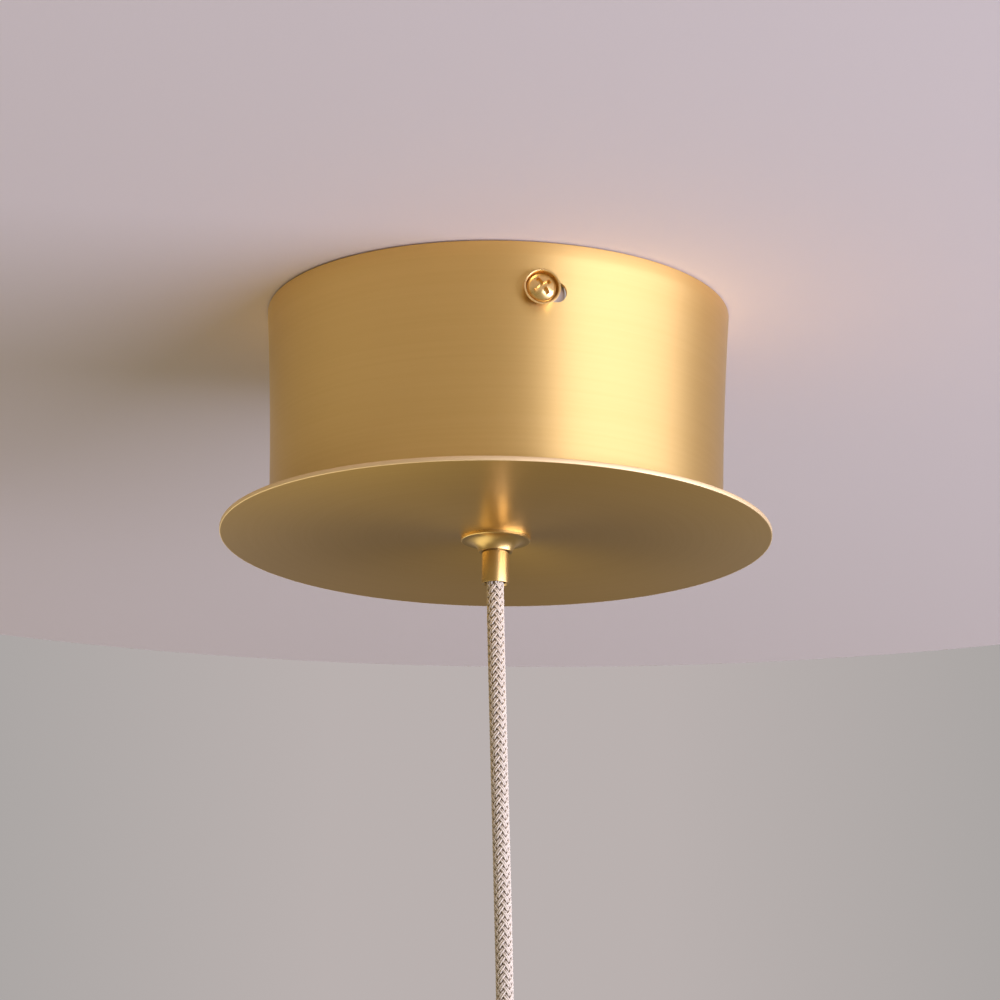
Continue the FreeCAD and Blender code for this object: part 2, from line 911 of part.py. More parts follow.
def make_block_fixings():
    studs, nuts = [], []
    for name, side in (("left", -1), ("right", 1)):
        where = {"x": block_x, "y": side * ear_middle}
        studs.append(
            make_stud(f"block_stud_{name}", size("block_stud_d"), size("block_stud_len"), **where)
        )
        nuts.append(
            hexagon_nut(
                f"block_nut_{name}",
                size("block_nut_flats"),
                size("block_stud_d") / 2 + thread_gap,
                size("block_nut_thick"),
                z=floor_top + size("web_height"),
                **where,
            )
        )
    return [group("terminal_studs", studs), group("terminal_nuts", nuts)]


# ---------------------------------------------------------------------------------------------------------
# Earth connection on the drum's floor
# ---------------------------------------------------------------------------------------------------------

earth_x = block_x - size("earth_aside")
earth_y = -(base_half + size("ear_len") + size("earth_past_block"))
earth_place = {"x": earth_x, "y": earth_y}
barrel_rise = size("ring_barrel_d") / 2 + thread_gap
lead_r = size("core_d") / 2


def make_earth_ring():
    """A crimped ring terminal: a flat ring, a tongue, and a barrel that takes the earth lead from +X."""
    hole = size("earth_stud_d") / 2 + hole_gap
    thick, ring_r = size("ring_thick"), size("ring_d") / 2
    ring = turned("earth_ring_flat", [(hole, 0), (ring_r, 0), (ring_r, thick), (hole, thick)])
    start, tongue_start = size("ring_barrel_start"), hole + (ring_r - hole) / 2
    tongue = document.addObject("Part::Box", "earth_ring_tongue")
    bind(tongue, "Length", start + size("ring_barrel_len") / 2 - tongue_start)
    bind(tongue, "Width", size("ring_barrel_d"))
    bind(tongue, "Height", thick)
    place(tongue, x=tongue_start, y=-size("ring_barrel_d") / 2)
    barrel = document.addObject("Part::Cylinder", "earth_ring_barrel")
    bind(barrel, "Radius", size("ring_barrel_d") / 2)
    bind(barrel, "Height", size("ring_barrel_len"))
    place(barrel, x=start, z=barrel_rise, rotation=ALONG_X)
    whole = document.addObject("Part::MultiFuse", "earth_ring_whole")
    whole.Shapes = [ring, tongue, barrel]
    bore = document.addObject("Part::Cylinder", "earth_ring_bore")
    bind(bore, "Radius", lead_r + thread_gap)
    bind(bore, "Height", size("ring_barrel_len"))
    place(bore, x=start + size("ring_barrel_len") / 5, z=barrel_rise, rotation=ALONG_X)
    terminal = document.addObject("Part::Cut", "earth_ring")
    terminal.Base = whole
    terminal.Tool = bore
    terminal.Label = "earth_ring"
    return place(terminal, z=floor_top, **earth_place)


def make_earth_fixings():
    stud_r = size("earth_stud_d") / 2
    washer_r, washer_thick = size("earth_washer_d") / 2, size("earth_washer_thick")
    hole = stud_r + hole_gap
    washer_z = floor_top + size("ring_thick")
    stud = make_stud("earth_stud", size("earth_stud_d"), size("earth_stud_len"), **earth_place)
    washer = turned(
        "earth_washer",
        [(hole, 0), (washer_r, 0), (washer_r, washer_thick), (hole, washer_thick)],
        z=washer_z,
        **earth_place,
    )
    nut = hexagon_nut(
        "earth_nut",
        size("earth_nut_flats"),
        stud_r + thread_gap,
        size("earth_nut_thick"),
        z=washer_z + washer_thick,
        **earth_place,
    )
    return [stud, washer, nut]


# ---------------------------------------------------------------------------------------------------------
# Cord grip at the lamp end, drawn upward from its mouth and hung upside down
# ---------------------------------------------------------------------------------------------------------

lean_x, lean_y = size("cord_lean_x"), size("cord_lean_y")
UPSIDE_DOWN = Rotation(Vector(1, 0, 0), 180)
lamp_end = {"x": lean_x, "y": lean_y, "z": lamp_mouth_z, "rotation": UPSIDE_DOWN}
grip_r = size("flange_d") / 2
grip_end = neck_up + size("trumpet_drop") + size("grip_drop")
nipple_start = grip_end - size("nipple_inside")


def make_lamp_grip():
    """A trumpet-topped turned body: the cord clamp's seat at one end, a nipple's thread at the other."""
    edge, bore_r = size("flange_edge"), size("stem_bore") / 2
    socket = stem_r + thread_gap
    shoulder = neck_up + size("trumpet_drop")
    return turned(
        "lamp_grip",
        [
            (clamp_r, neck_up),
            (size("neck_d") / 2, neck_up, size("trumpet_round"), RIGHT),
            (grip_r - edge, shoulder),
            (grip_r, shoulder + edge),
            (grip_r, grip_end),
            (socket, grip_end),
            (socket, nipple_start),
            (bore_r, nipple_start),
            (bore_r, collet_up + size("collet_len")),
            (clamp_r, collet_up + size("collet_straight")),
        ],
        **lamp_end,
    )


def make_lamp_fixings():
    """The hollow nipple that a lampholder screws on to, with its washer and nut."""
    bore, chamfer = size("nipple_bore") / 2, size("stem_chamfer")
    washer_r, hole = size("lamp_washer_d") / 2, stem_hole_r
    washer_end = grip_end + size("lamp_washer_thick")
    nut_end = washer_end + size("lamp_nut_thick")
    groove_end, groove_r = nut_end + size("nipple_groove"), stem_r - size("nipple_groove_deep")
    nipple_end = nipple_start + size("nipple_len")
    nipple = turned(
        "lamp_nipple",
        [
            (bore, nipple_start),
            (stem_r, nipple_start),
            (stem_r, nut_end),
            (groove_r, nut_end),
            (groove_r, groove_end),
            (stem_r, groove_end),
            (stem_r, nipple_end - chamfer),
            (stem_r - chamfer, nipple_end),
            (bore, nipple_end),
        ],
        **lamp_end,
    )
    washer = turned(
        "lamp_washer",
        [(hole, grip_end), (washer_r, grip_end), (washer_r, washer_end), (hole, washer_end)],
        **lamp_end,
    )
    nut_place = dict(lamp_end, z=lamp_mouth_z - washer_end)
    nut = hexagon_nut(
        "lamp_nut",
        size("lamp_nut_flats"),
        stem_r + thread_gap,
        size("lamp_nut_thick"),
        **nut_place,
    )
    return [nipple, washer, nut]


# ---------------------------------------------------------------------------------------------------------
# Cord and its cores
# ---------------------------------------------------------------------------------------------------------


def point(across, along, up):
    return Vector(*(as_size(length).value for length in (across, along, up)))


def make_cords():
    """The cord in three nodes: inside the gland, hanging, and inside the lamp end's grip."""
    diameter = size("cord_d").value
    sheath_end, straight = stem_top + size("cord_above_stem"), size("cord_straight")
    inner = tube("cord_inner", [point(0, 0, mouth_z), point(0, 0, sheath_end)], diameter)
    hanging = tube(
        "cord_hanging",
        [
            point(0, 0, mouth_z),
            point(0, 0, mouth_z - straight),
            point(lean_x, lean_y, lamp_mouth_z + straight),
            point(lean_x, lean_y, lamp_mouth_z),
        ],
        diameter,
    )
    tail_end = lamp_mouth_z - size("cord_tail")
    tail = tube(
        "cord_tail",
        [point(lean_x, lean_y, lamp_mouth_z), point(lean_x, lean_y, tail_end)],
        diameter,
    )
    return [inner, hanging, tail]


def make_cores():
    """Three cores that rise out of the sheath, arch over and enter the terminal block from the middle."""
    sheath_end = stem_top + size("cord_above_stem")
    block_face, arch = block_x - size("block_depth") / 2, size("core_arch")
    spread = size("core_spread").value
    starts = {"live": 120, "neutral": 240, "earth": 0}
    cores = []
    for name, angle in starts.items():
        along = poles[name]
        out = Vector(spread * math.cos(math.radians(angle)), spread * math.sin(math.radians(angle)), 0)
        rise = point(0, 0, sheath_end) + out
        cores.append(
            tube(
                f"{name}_core",
                [
                    rise,
                    rise + point(0, 0, arch / 2),
                    point(block_face * 0.18, along * 0.3, sheath_end + arch * 0.955),
                    point(block_face * 0.46, along * 0.65, sheath_end + arch),
                    point(block_face * 0.67, along * 0.9, sheath_end + arch * 0.59),
                    point(block_face * 0.745, along, sheath_end - arch * 0.045),
                    point(block_face * 0.925, along, sleeve_z),
                    point(block_face + size("core_in_sleeve"), along, sleeve_z),
                ],
                size("core_d").value,
            )
        )
    return cores


def make_earth_lead():
    """From the block's earth pole round to the ring terminal."""
    block_end, loop = block_x + size("block_depth") / 2, size("lead_loop")
    ring_z = floor_top + barrel_rise
    fall = sleeve_z - ring_z
    barrel_x, barrel_len = earth_x + size("ring_barrel_start"), size("ring_barrel_len")
    return tube(
        "earth_lead",
        [
            point(block_end - size("core_in_sleeve"), 0, sleeve_z),
            point(block_end + loop / 4, 0, sleeve_z),
            point(block_end + loop, earth_y * 0.17, sleeve_z - fall * 0.06),
            point(block_end + loop, earth_y * 0.45, sleeve_z - fall * 0.33),
            point(block_end + loop / 3, earth_y * 0.76, sleeve_z - fall * 0.79),
            point(barrel_x + barrel_len + size("lead_straight"), earth_y, ring_z),
            point(barrel_x + barrel_len * 0.3, earth_y, ring_z),
        ],
        size("core_d").value,
    )


# ---------------------------------------------------------------------------------------------------------
# The whole pendant
# ---------------------------------------------------------------------------------------------------------

nodes = [
    make_bracket(),
    make_lug_nuts(),
    make_cup(),
    make_disc(),
    make_gland(),
    make_gland_washer(),
    make_gland_nut(),
    make_ferrule("clamp_ferrule", z=mouth_z),
    make_collet("clamp_collet", z=mouth_z),
    make_side_washer("side_washer_front", y=-washer_back, z=screw_z, rotation=FRONT),
    make_side_washer("side_washer_rear", y=washer_back, z=screw_z, rotation=REAR),
    make_side_screw("side_screw_front", y=-washer_back, z=screw_z, rotation=FRONT),
    make_side_screw("side_screw_rear", y=washer_back, z=screw_z, rotation=REAR),
    make_terminal_housing(),
    *make_terminal_metal(),
    *make_block_fixings(),
    make_earth_ring(),
    *make_earth_fixings(),
    make_ferrule("lamp_ferrule", **lamp_end),
    make_collet("lamp_collet", **lamp_end),
    make_lamp_grip(),
    *make_lamp_fixings(),
    *make_cords(),
    *make_cores(),
    make_earth_lead(),
]
document.recompute()

for thing in document.Objects:
    if "Invalid" in thing.State or "Error" in thing.State:
        raise RuntimeError(f"{thing.Label} is {thing.State}")
for node in nodes:
    if node.Shape.isNull() or not node.Shape.isValid() or not node.Shape.Solids:
        raise RuntimeError(f"{node.Label} has no valid solid")

os.makedirs("parts", exist_ok=True)
for node in nodes:
    node.Shape.exportStep(f"parts/{node.Label}.step")
print(f"{len(nodes)} nodes")
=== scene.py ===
# %% [markdown]
# # A pendant light's ceiling end, and its braided cord
# The object is the part of a rise and fall pendant that stays at the ceiling: a drawn brass drum with a
# spun disc under it, a small trumpet-shaped gland, and a textile-braided cord. Its hard parts are already
# solids in CAD, so this lesson starts by loading them as a fixed frame. What we add here is what a camera
# sees: thread, yarn, brushed metal, and light.

# %% The frame
import math

import bmesh
import bpy
import numpy as np
from mathutils import Matrix, Vector


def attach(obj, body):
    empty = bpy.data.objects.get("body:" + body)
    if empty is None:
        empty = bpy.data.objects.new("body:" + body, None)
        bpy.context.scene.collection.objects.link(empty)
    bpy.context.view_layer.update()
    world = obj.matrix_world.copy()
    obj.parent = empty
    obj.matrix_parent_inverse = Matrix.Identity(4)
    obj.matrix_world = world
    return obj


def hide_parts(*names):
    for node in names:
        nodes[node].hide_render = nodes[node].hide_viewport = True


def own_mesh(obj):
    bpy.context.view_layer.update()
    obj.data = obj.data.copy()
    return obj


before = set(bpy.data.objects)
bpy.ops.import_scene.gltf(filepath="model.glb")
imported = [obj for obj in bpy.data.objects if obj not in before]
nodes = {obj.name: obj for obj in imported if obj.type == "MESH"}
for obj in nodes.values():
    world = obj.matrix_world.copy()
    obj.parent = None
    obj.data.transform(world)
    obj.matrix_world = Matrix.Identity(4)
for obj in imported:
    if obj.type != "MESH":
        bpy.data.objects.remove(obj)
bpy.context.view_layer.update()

# %% [markdown]
# ## The camera
# The photograph looks up at the canopy from about 0.8 m away with a long lens, a little to the left of the
# side screw. Looking up by 16 degrees shows the underside of the disc as a narrow ellipse. We set the
# camera's matrix from its two angles and a slight roll, because a tracking constraint would be one more
# thing to keep alive.

# %% A long lens, looking up
MM = 0.001
TURN = math.radians(9.9)
LOOK_UP = math.radians(15.89)
ROLL = 0.011
SENSOR, FOCAL_LENGTH = 36, 133.3
ASIDE, AWAY, DROP = 0.83, 776.8, 263.3

lens = bpy.data.cameras.new("room_camera")
lens.sensor_width = SENSOR
lens.lens = FOCAL_LENGTH
camera = bpy.data.objects.new("room_camera", lens)
bpy.context.scene.collection.objects.link(camera)
bpy.context.scene.camera = camera

ahead_level = Vector((math.sin(TURN), math.cos(TURN), 0))
beside = Vector((math.cos(TURN), -math.sin(TURN), 0))
ahead = ahead_level * math.cos(LOOK_UP) + Vector((0, 0, math.sin(LOOK_UP)))
above = beside.cross(ahead)
right = beside * math.cos(ROLL) + above * math.sin(ROLL)
up = above * math.cos(ROLL) - beside * math.sin(ROLL)
place = beside * ASIDE * MM - ahead_level * AWAY * MM + Vector((0, 0, -DROP * MM))
camera.matrix_world = Matrix.Translation(place) @ Matrix((right, up, -ahead)).transposed().to_4x4()
print("camera stands", round(place.length, 3), "m from the ceiling point")

# %% [markdown]
# ## The cord's line
# The cord leaves the ferrule straight down, sways 3 mm to the side as it falls, and goes straight into the
# lamp's ferrule. A NURBS spline with four control points draws that: it needs no more, because a hanging
# cord has no corners. We read the line back as a chain of points, which the yarns then follow.

# %% Routes and a smooth line through them
MOUTH = (0, 0, -0.0611)
LAMP_MOUTH = (0.00305, -0.00053, -0.1559)
HANGING_ROUTE = [MOUTH, (0, 0, -0.0661), (0.00305, -0.00053, -0.1509), LAMP_MOUTH]
INNER_ROUTE = [MOUTH, (0, 0, -0.0369)]
TAIL_ROUTE = [LAMP_MOUTH, (0.00305, -0.00053, -0.1721)]


def smooth_line(name, route, steps):
    """Points along a NURBS curve that has the route as its control points."""
    curve = bpy.data.curves.new(name + "_line", "CURVE")
    curve.dimensions = "3D"
    spline = curve.splines.new("NURBS")
    spline.points.add(len(route) - 1)
    for point, spot in zip(spline.points, route):
        point.co = (*spot, 1)
    spline.order_u = min(3, len(route))
    spline.use_endpoint_u = True
    spline.resolution_u = steps
    holder = bpy.data.objects.new(name + "_line", curve)
    bpy.context.scene.collection.objects.link(holder)
    mesh = bpy.data.meshes.new_from_object(holder)
    line = np.array([vertex.co[:] for vertex in mesh.vertices])
    bpy.data.objects.remove(holder)
    bpy.data.curves.remove(curve)
    bpy.data.meshes.remove(mesh)
    if np.linalg.norm(line[0] - route[0]) > np.linalg.norm(line[-1] - route[0]):
        line = line[::-1]
    return line


def along(line):
    """How far each point of the line is from its start, in metres."""
    return np.concatenate([[0], np.cumsum(np.linalg.norm(np.diff(line, axis=0), axis=1))])


hanging_line = smooth_line("hanging", HANGING_ROUTE, 40)
print("hanging cord:", len(hanging_line), "points,", round(1000 * along(hanging_line)[-1], 1), "mm")

# %% [markdown]
# ## The braid
# A round textile flex is braided on sixteen bobbins: eight go round one way and eight the other, each
# passing over two and under two. That makes small slanted stitches in chevron columns. Each bobbin carries
# two ends of yarn. A texture could fake this, but the outline would stay a straight tube, so we lay every
# yarn as its own line round the cord's line, and let a curve's bevel give it thickness.

# %% One yarn of the braid
CORD_R = 1.9 * MM
YARN_R = 0.235 * MM
LIFT = 0.24 * MM
MID_R = CORD_R - YARN_R - LIFT
FILLER_R = 1.2 * MM
FILLER_POINTS = 40
PITCH = 14.4 * MM
BOBBINS = 8  # that go the same way round
PAIR_GAP = 0.4  # between the two yarns of a bobbin, as a share of the room it has
STEP = 0.24 * MM
CROSSINGS = 4  # in one repeat: over two, under two
DIVE = 1.35  # above 1 it makes a yarn lie flat for longer and dive faster


def over_and_under(crossing):
    """+1 while a yarn lies over two others, -1 while it dives under the next two."""
    wave = np.cos(2 * np.pi * crossing / CROSSINGS)
    return np.sin(np.pi / 2 * np.clip(DIVE * wave, -1, 1))


def yarn_path(line, start, way, bobbin, end):
    """The path of one yarn: way is +1 or -1, end is its place among the two on its bobbin."""
    run = along(line)
    steps = int(run[-1] / STEP) + 1
    far = np.linspace(0, run[-1], steps)
    middle = np.stack([np.interp(far, run, line[:, axis]) for axis in range(3)], axis=1)
    count = 2 * BOBBINS * (far + start) / PITCH
    turn = 2 * np.pi * (way * (far + start) / PITCH + (bobbin + PAIR_GAP * (end - 0.5)) / BOBBINS)
    middle_of_float = 0.5 if way > 0 else 2.5
    lift = over_and_under(2 * bobbin + way * count - middle_of_float)
    radius = MID_R + LIFT * lift
    spots = middle.copy()
    spots[:, 0] += radius * np.cos(turn)
    spots[:, 1] += radius * np.sin(turn)
    return spots


# %% [markdown]
# A bevelled curve becomes a mesh once all its yarns are in it. Between the yarns one could look into the
# cord, so a plain sleeve closes the inside, as the real filler and cores do. Every point also remembers how
# deep it lies in the braid, so that the material can paint shade into the hollows between the stitches.

# %% Yarns to a mesh
def curve_mesh(name, paths, thickness, sides):
    """A mesh of round strands along the paths."""
    curve = bpy.data.curves.new(name, "CURVE")
    curve.dimensions = "3D"
    curve.bevel_depth = thickness
    curve.bevel_resolution = sides
    curve.use_fill_caps = True
    for path in paths:
        spline = curve.splines.new("POLY")
        spline.points.add(len(path) - 1)
        flat = np.ones((len(path), 4))
        flat[:, :3] = path
        spline.points.foreach_set("co", flat.ravel())
    holder = bpy.data.objects.new(name, curve)
    bpy.context.scene.collection.objects.link(holder)
    mesh = bpy.data.meshes.new_from_object(holder)
    bpy.data.objects.remove(holder)
    bpy.data.curves.remove(curve)
    mesh.name = name
    return mesh


def show(name, mesh):
    """An object at the origin for a finished mesh."""
    piece = bpy.data.objects.new(name, mesh)
    bpy.context.scene.collection.objects.link(piece)
    return piece


def join(name, meshes):
    """One mesh out of several, with its faces smooth."""
    together = bmesh.new()
    for mesh in meshes:
        together.from_mesh(mesh)
        bpy.data.meshes.remove(mesh)
    mesh = bpy.data.meshes.new(name)
    together.to_mesh(mesh)
    together.free()
    mesh.shade_smooth()
    return mesh


def braided_cord(name, line, start=0.0):
    """The braid along a line. start is how far the pattern has already run."""
    paths = [
        yarn_path(line, start, way, bobbin, end)
        for way in (1, -1)
        for bobbin in range(BOBBINS)
        for end in (0, 1)
    ]
    yarns = curve_mesh(name + "_yarns", paths, YARN_R, 1)
    filler_line = line[:: max(1, len(line) // FILLER_POINTS)]
    filler = curve_mesh(name + "_filler", [filler_line], FILLER_R, 4)
    mesh = join(name, [yarns, filler])
    spots = np.empty(len(mesh.vertices) * 3)
    mesh.vertices.foreach_get("co", spots)
    spots = spots.reshape(-1, 3)
    order = np.argsort(line[:, 2])
    centre = [np.interp(spots[:, 2], line[order, 2], line[order, axis]) for axis in (0, 1)]
    out = np.hypot(spots[:, 0] - centre[0], spots[:, 1] - centre[1])
    # crown: how far out each point lies, 0 in the hollows to 1 on the crowns; the yarn material paints shade
    # from it.
    crown = mesh.attributes.new("crown", "FLOAT", "POINT")
    crown.data.foreach_set("value", np.clip((out - FILLER_R) / (CORD_R - FILLER_R), 0, 1))
    piece = show(name, mesh)
    print(name, "has", len(paths), "yarns and", len(mesh.polygons), "faces")
    print("    its outside radius is", round(1000 * out.max(), 3), "mm")
    return piece


# %% [markdown]
# The cord is three pieces, because it belongs to three places: the short end inside the gland, the hanging
# length, and the end inside the lamp's grip. The pattern runs on from one to the next.

# %% The three lengths of cord
inner_line = smooth_line("inner", INNER_ROUTE, 12)
tail_line = smooth_line("tail", TAIL_ROUTE, 12)
braid_inner = braided_cord("braid_inner", inner_line)
braid_hanging = braided_cord("braid_hanging", hanging_line)
braid_tail = braided_cord("braid_tail", tail_line, along(hanging_line)[-1])

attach(braid_inner, "canopy")
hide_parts("cord_inner")
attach(braid_hanging, "canopy")
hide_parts("cord_hanging")
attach(braid_tail, "lamp_end")
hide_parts("cord_tail")

# %% [markdown]
# ## The cores
# Inside the canopy the braid is stripped back and three insulated cores arch over to the terminal block. A
# fourth wire takes the earth from the block to a stud in the drum. They are plain round PVC, so a bevelled
# NURBS line is all that they need.

# %% Cores and the earth lead
CORE_R = 0.65 * MM
CORE_OFF_AXIS = 0.8
# For each core, its pole's y in millimetres and its own place round the cord in degrees.
BLOCK_POLE = {"live": (9, 120), "neutral": (-9, 240), "earth": (0, 0)}


def core_route(pole_y, angle):
    """Up out of the sheath, over in an arch, and down into the block's sleeve, in metres."""
    out_x = CORE_OFF_AXIS * math.cos(math.radians(angle))
    out_y = CORE_OFF_AXIS * math.sin(math.radians(angle))
    spots = [
        (out_x, out_y, -36.9),
        (out_x, out_y, -31.4),
        (3.51, 0.3 * pole_y, -26.395),
        (8.97, 0.65 * pole_y, -25.9),
        (13.065, 0.9 * pole_y, -30.41),
        (14.5275, pole_y, -37.395),
        (18.0375, pole_y, -42.7),
        (25.5, pole_y, -42.7),
    ]
    return [tuple(n * MM for n in spot) for spot in spots]


EARTH_LEAD_ROUTE = [
    (0.0305, 0, -0.0427),
    (0.038, 0, -0.0427),
    (0.0425, -0.00493, -0.042991),
    (0.0425, -0.01305, -0.0443005),
    (0.0385, -0.02204, -0.0465315),
    (0.033, -0.029, -0.04755),
    (0.0247, -0.029, -0.04755),
]


def insulated_wire(name, route, node):
    """A round wire along its route, in place of its CAD solid."""
    line = smooth_line(name, route, 10)
    mesh = curve_mesh(name, [line], CORE_R, 6)
    mesh.shade_smooth()
    piece = show(name, mesh)
    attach(piece, "canopy")
    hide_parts(node)
    print(name, round(1000 * along(line)[-1], 1), "mm long,", len(mesh.polygons), "faces")
    return piece, line


wires = {}
for core, (pole_y, angle) in BLOCK_POLE.items():
    wires[core] = insulated_wire(core + "_wire", core_route(pole_y, angle), core + "_core")
wires["lead"] = insulated_wire("earth_lead_wire", EARTH_LEAD_ROUTE, "earth_lead")

# %% [markdown]
# ## Turned brass
# Most of the metal is turned on a lathe, and `bmesh.ops.spin` is Blender's lathe: it carries an outline
# once round an axis. We draw the outline as a chain of edges in the XZ plane, let `bmesh.ops.bevel` break
# its corners as a turner's file would, and spin it. Corners that stay crisp are left out of the bevel.

# %% A lathe
SAME_SPOT = 1e-7
CREST = 0.12


def turned(outline, steps, broken=0.0, crisp=()):
    """A closed outline of radius and height, in millimetres, spun round the Z axis."""
    shape = bmesh.new()
    corners = [shape.verts.new((r * MM, 0, z * MM)) for r, z in outline]
    for i in range(1, len(corners)):
        shape.edges.new((corners[i], corners[i - 1]))
    if outline[0][0] > 0 or outline[-1][0] > 0:
        shape.edges.new((corners[0], corners[-1]))
    if broken:
        soft = [corner for i, corner in enumerate(corners) if i not in crisp and outline[i][0] > 0]
        bmesh.ops.bevel(
            shape, geom=soft, offset=broken * MM, offset_type="OFFSET", segments=3, profile=0.5,
            affect="VERTICES", material=-1,
        )
    bmesh.ops.spin(
        shape, geom=shape.verts[:] + shape.edges[:], cent=(0, 0, 0), axis=(0, 0, 1),
        angle=2 * math.pi, steps=steps, use_merge=True,
    )
    bmesh.ops.remove_doubles(shape, verts=shape.verts[:], dist=SAME_SPOT)
    bmesh.ops.recalc_face_normals(shape, faces=shape.faces[:])
    return shape


def bow(start, end, radius, side, count):
    """Outline points on an arc. Its centre is to the left (side +1) or right (-1) of the way along it."""
    start, end = Vector(start), Vector(end)
    chord = end - start
    rise = math.sqrt(max(0.0, radius**2 - chord.length**2 / 4))
    centre = (start + end) / 2 + Vector((-chord.y, chord.x)).normalized() * rise * side
    first = math.atan2(start.y - centre.y, start.x - centre.x)
    sweep = side * 2 * math.asin(min(1.0, chord.length / 2 / radius))
    spots = []
    for i in range(count + 1):
        angle = first + sweep * i / count
        spots.append((centre.x + radius * math.cos(angle), centre.y + radius * math.sin(angle)))
    return spots


def thread(outer, deep, start, end, pitch):
    """The V grooves of a thread as outline points, up or down a stem of that outer radius."""
    way = 1 if end > start else -1
    count = int(abs(end - start) / pitch)
    spots = [(outer, start)]
    for i in range(count):
        base = start + way * i * pitch
        spots += [
            (outer, base + way * CREST),
            (outer - deep, base + way * pitch * 0.5),
            (outer, base + way * (pitch - CREST)),
        ]
    return spots


def finished(name, shape, where=None, crease=30):
    """A bmesh as a named piece, moved to its place, smooth but for its edges."""
    if where is not None:
        bmesh.ops.transform(shape, matrix=where, verts=shape.verts[:])
    mesh = bpy.data.meshes.new(name)
    shape.to_mesh(mesh)
    shape.free()
    mesh.shade_smooth()
    mesh.set_sharp_from_angle(angle=math.radians(crease))
    print(name, "has", len(mesh.polygons), "faces")
    return show(name, mesh)


# %% [markdown]
# ## The drum and its disc
# The drum is drawn from sheet, so its corner is rounded and its wall is 1 mm thick; it flares by 1.5 mm
# towards the ceiling. The CAD solid has the same form, but its wall is made of flat strips that show in a
# long highlight. A finer spin gives the brushed metal a clean curve, and its rim a small broken edge. The
# two slots for the side screws are cut into it afterwards with a Boolean. The disc is plain sheet, also 1
# mm thick, with broken edges.

# %% Drum outline
RIM_Z, FLOOR_Z = -0.5, -49.9
RIM_R, FLOOR_R, WALL = 50.9, 49.4, 1.0
CORNER, INNER_CORNER = 0.8, 1.2
LEVELS = 14
SCREW_Z = -11.0


def flare(z):
    """The drum's outer radius at a height: it opens towards the rim along a shallow curve."""
    share = max(0.0, (z - FLOOR_Z - CORNER) / (RIM_Z - FLOOR_Z - CORNER))
    return FLOOR_R + (RIM_R - FLOOR_R) * share * share


levels = [FLOOR_Z + CORNER + (RIM_Z - FLOOR_Z - CORNER) * i / LEVELS for i in range(LEVELS + 1)]
outside = [(flare(z), z) for z in levels]
outer_corner = bow((FLOOR_R - CORNER, FLOOR_Z), (FLOOR_R, FLOOR_Z + CORNER), CORNER, 1, 6)
inner_top, inner_floor = FLOOR_Z + WALL + INNER_CORNER, FLOOR_Z + WALL
inner_corner = bow(
    (FLOOR_R - WALL, inner_top), (FLOOR_R - WALL - INNER_CORNER, inner_floor), INNER_CORNER, -1, 6,
)
inside = [(flare(z) - WALL, z) for z in reversed(levels) if z > inner_top]
print("drum radius at the screw:", round(flare(SCREW_Z), 2), "mm")

# %% Spin the drum, cut its slots
HOLE_R = 5.1
SLOT_W, SLOT_TRAVEL = 4.5, 3.5
CUT_FROM, CUT_LENGTH = 45, 15

drum_shape = turned(
    [(HOLE_R, FLOOR_Z)] + outer_corner + outside[1:] + inside + inner_corner + [(HOLE_R, inner_floor)],
    steps=256, broken=0.12, crisp=range(1, len(outer_corner) + LEVELS - 1),
)
drum = finished("drum", drum_shape, crease=40)


def slot_cutter(name, side):
    """A slot-shaped bar that runs out through the wall. side is -1 in front and +1 behind."""
    bar = bmesh.new()
    half = SLOT_W / 2
    middle = SLOT_TRAVEL / 2
    right_x, left_x = middle + SLOT_TRAVEL / 2, middle - SLOT_TRAVEL / 2
    ends = bow((right_x, SCREW_Z - half), (right_x, SCREW_Z + half), half, 1, 24)
    ends += bow((left_x, SCREW_Z + half), (left_x, SCREW_Z - half), half, 1, 24)
    ring = [bar.verts.new((x * MM, -CUT_FROM * MM, z * MM)) for x, z in ends]
    face = bar.faces.new(ring)
    grown = bmesh.ops.extrude_face_region(bar, geom=[face])
    far = [part for part in grown["geom"] if isinstance(part, bmesh.types.BMVert)]
    bmesh.ops.translate(bar, vec=(0, -CUT_LENGTH * MM, 0), verts=far)
    bmesh.ops.recalc_face_normals(bar, faces=bar.faces[:])
    if side > 0:
        half_round = Matrix.Rotation(math.pi, 3, "Z")
        bmesh.ops.rotate(bar, cent=(0, 0, 0), matrix=half_round, verts=bar.verts[:])
    return finished(name, bar)


def cut(piece, cutters, crease=40):
    """Takes the cutters' shapes out of a piece for good."""
    for cutter in cutters:
        knife = piece.modifiers.new("cut", "BOOLEAN")
        knife.operation = "DIFFERENCE"
        knife.solver = "EXACT"
        knife.object = cutter
    evaluated = piece.evaluated_get(bpy.context.evaluated_depsgraph_get())
    mesh = bpy.data.meshes.new_from_object(evaluated)
    piece.modifiers.clear()
    piece.data = mesh
    for cutter in cutters:
        bpy.data.objects.remove(cutter)
    mesh.shade_smooth()
    mesh.set_sharp_from_angle(angle=math.radians(crease))
    return piece


cut(drum, [slot_cutter("slot_front", -1), slot_cutter("slot_rear", 1)])
print("drum after its slots:", len(drum.data.polygons), "faces")

# %% The disc
DISC_R, DISC_Z = 60, -50.9

disc_shape = turned(
    [(HOLE_R, DISC_Z), (DISC_R, DISC_Z), (DISC_R, FLOOR_Z), (HOLE_R, FLOOR_Z)], steps=256, broken=0.15,
)
disc = finished("disc", disc_shape, crease=50)

for piece, node in ((drum, "canopy_cup"), (disc, "base_disc")):
    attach(piece, "canopy")
    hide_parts(node)

# %% [markdown]
# ## The gland and its ferrule
# The gland's underside is a trumpet: a concave quarter arc from its thin rim down to a narrow neck. Its
# stem goes up through the disc and the drum and carries a nut. The ferrule screws up into the neck and
# leaves a fine groove at their seam, with a countersink round the cord at its mouth. The threads are plain
# rings rather than a helix: at this pitch nobody can tell, and rings stay closed.

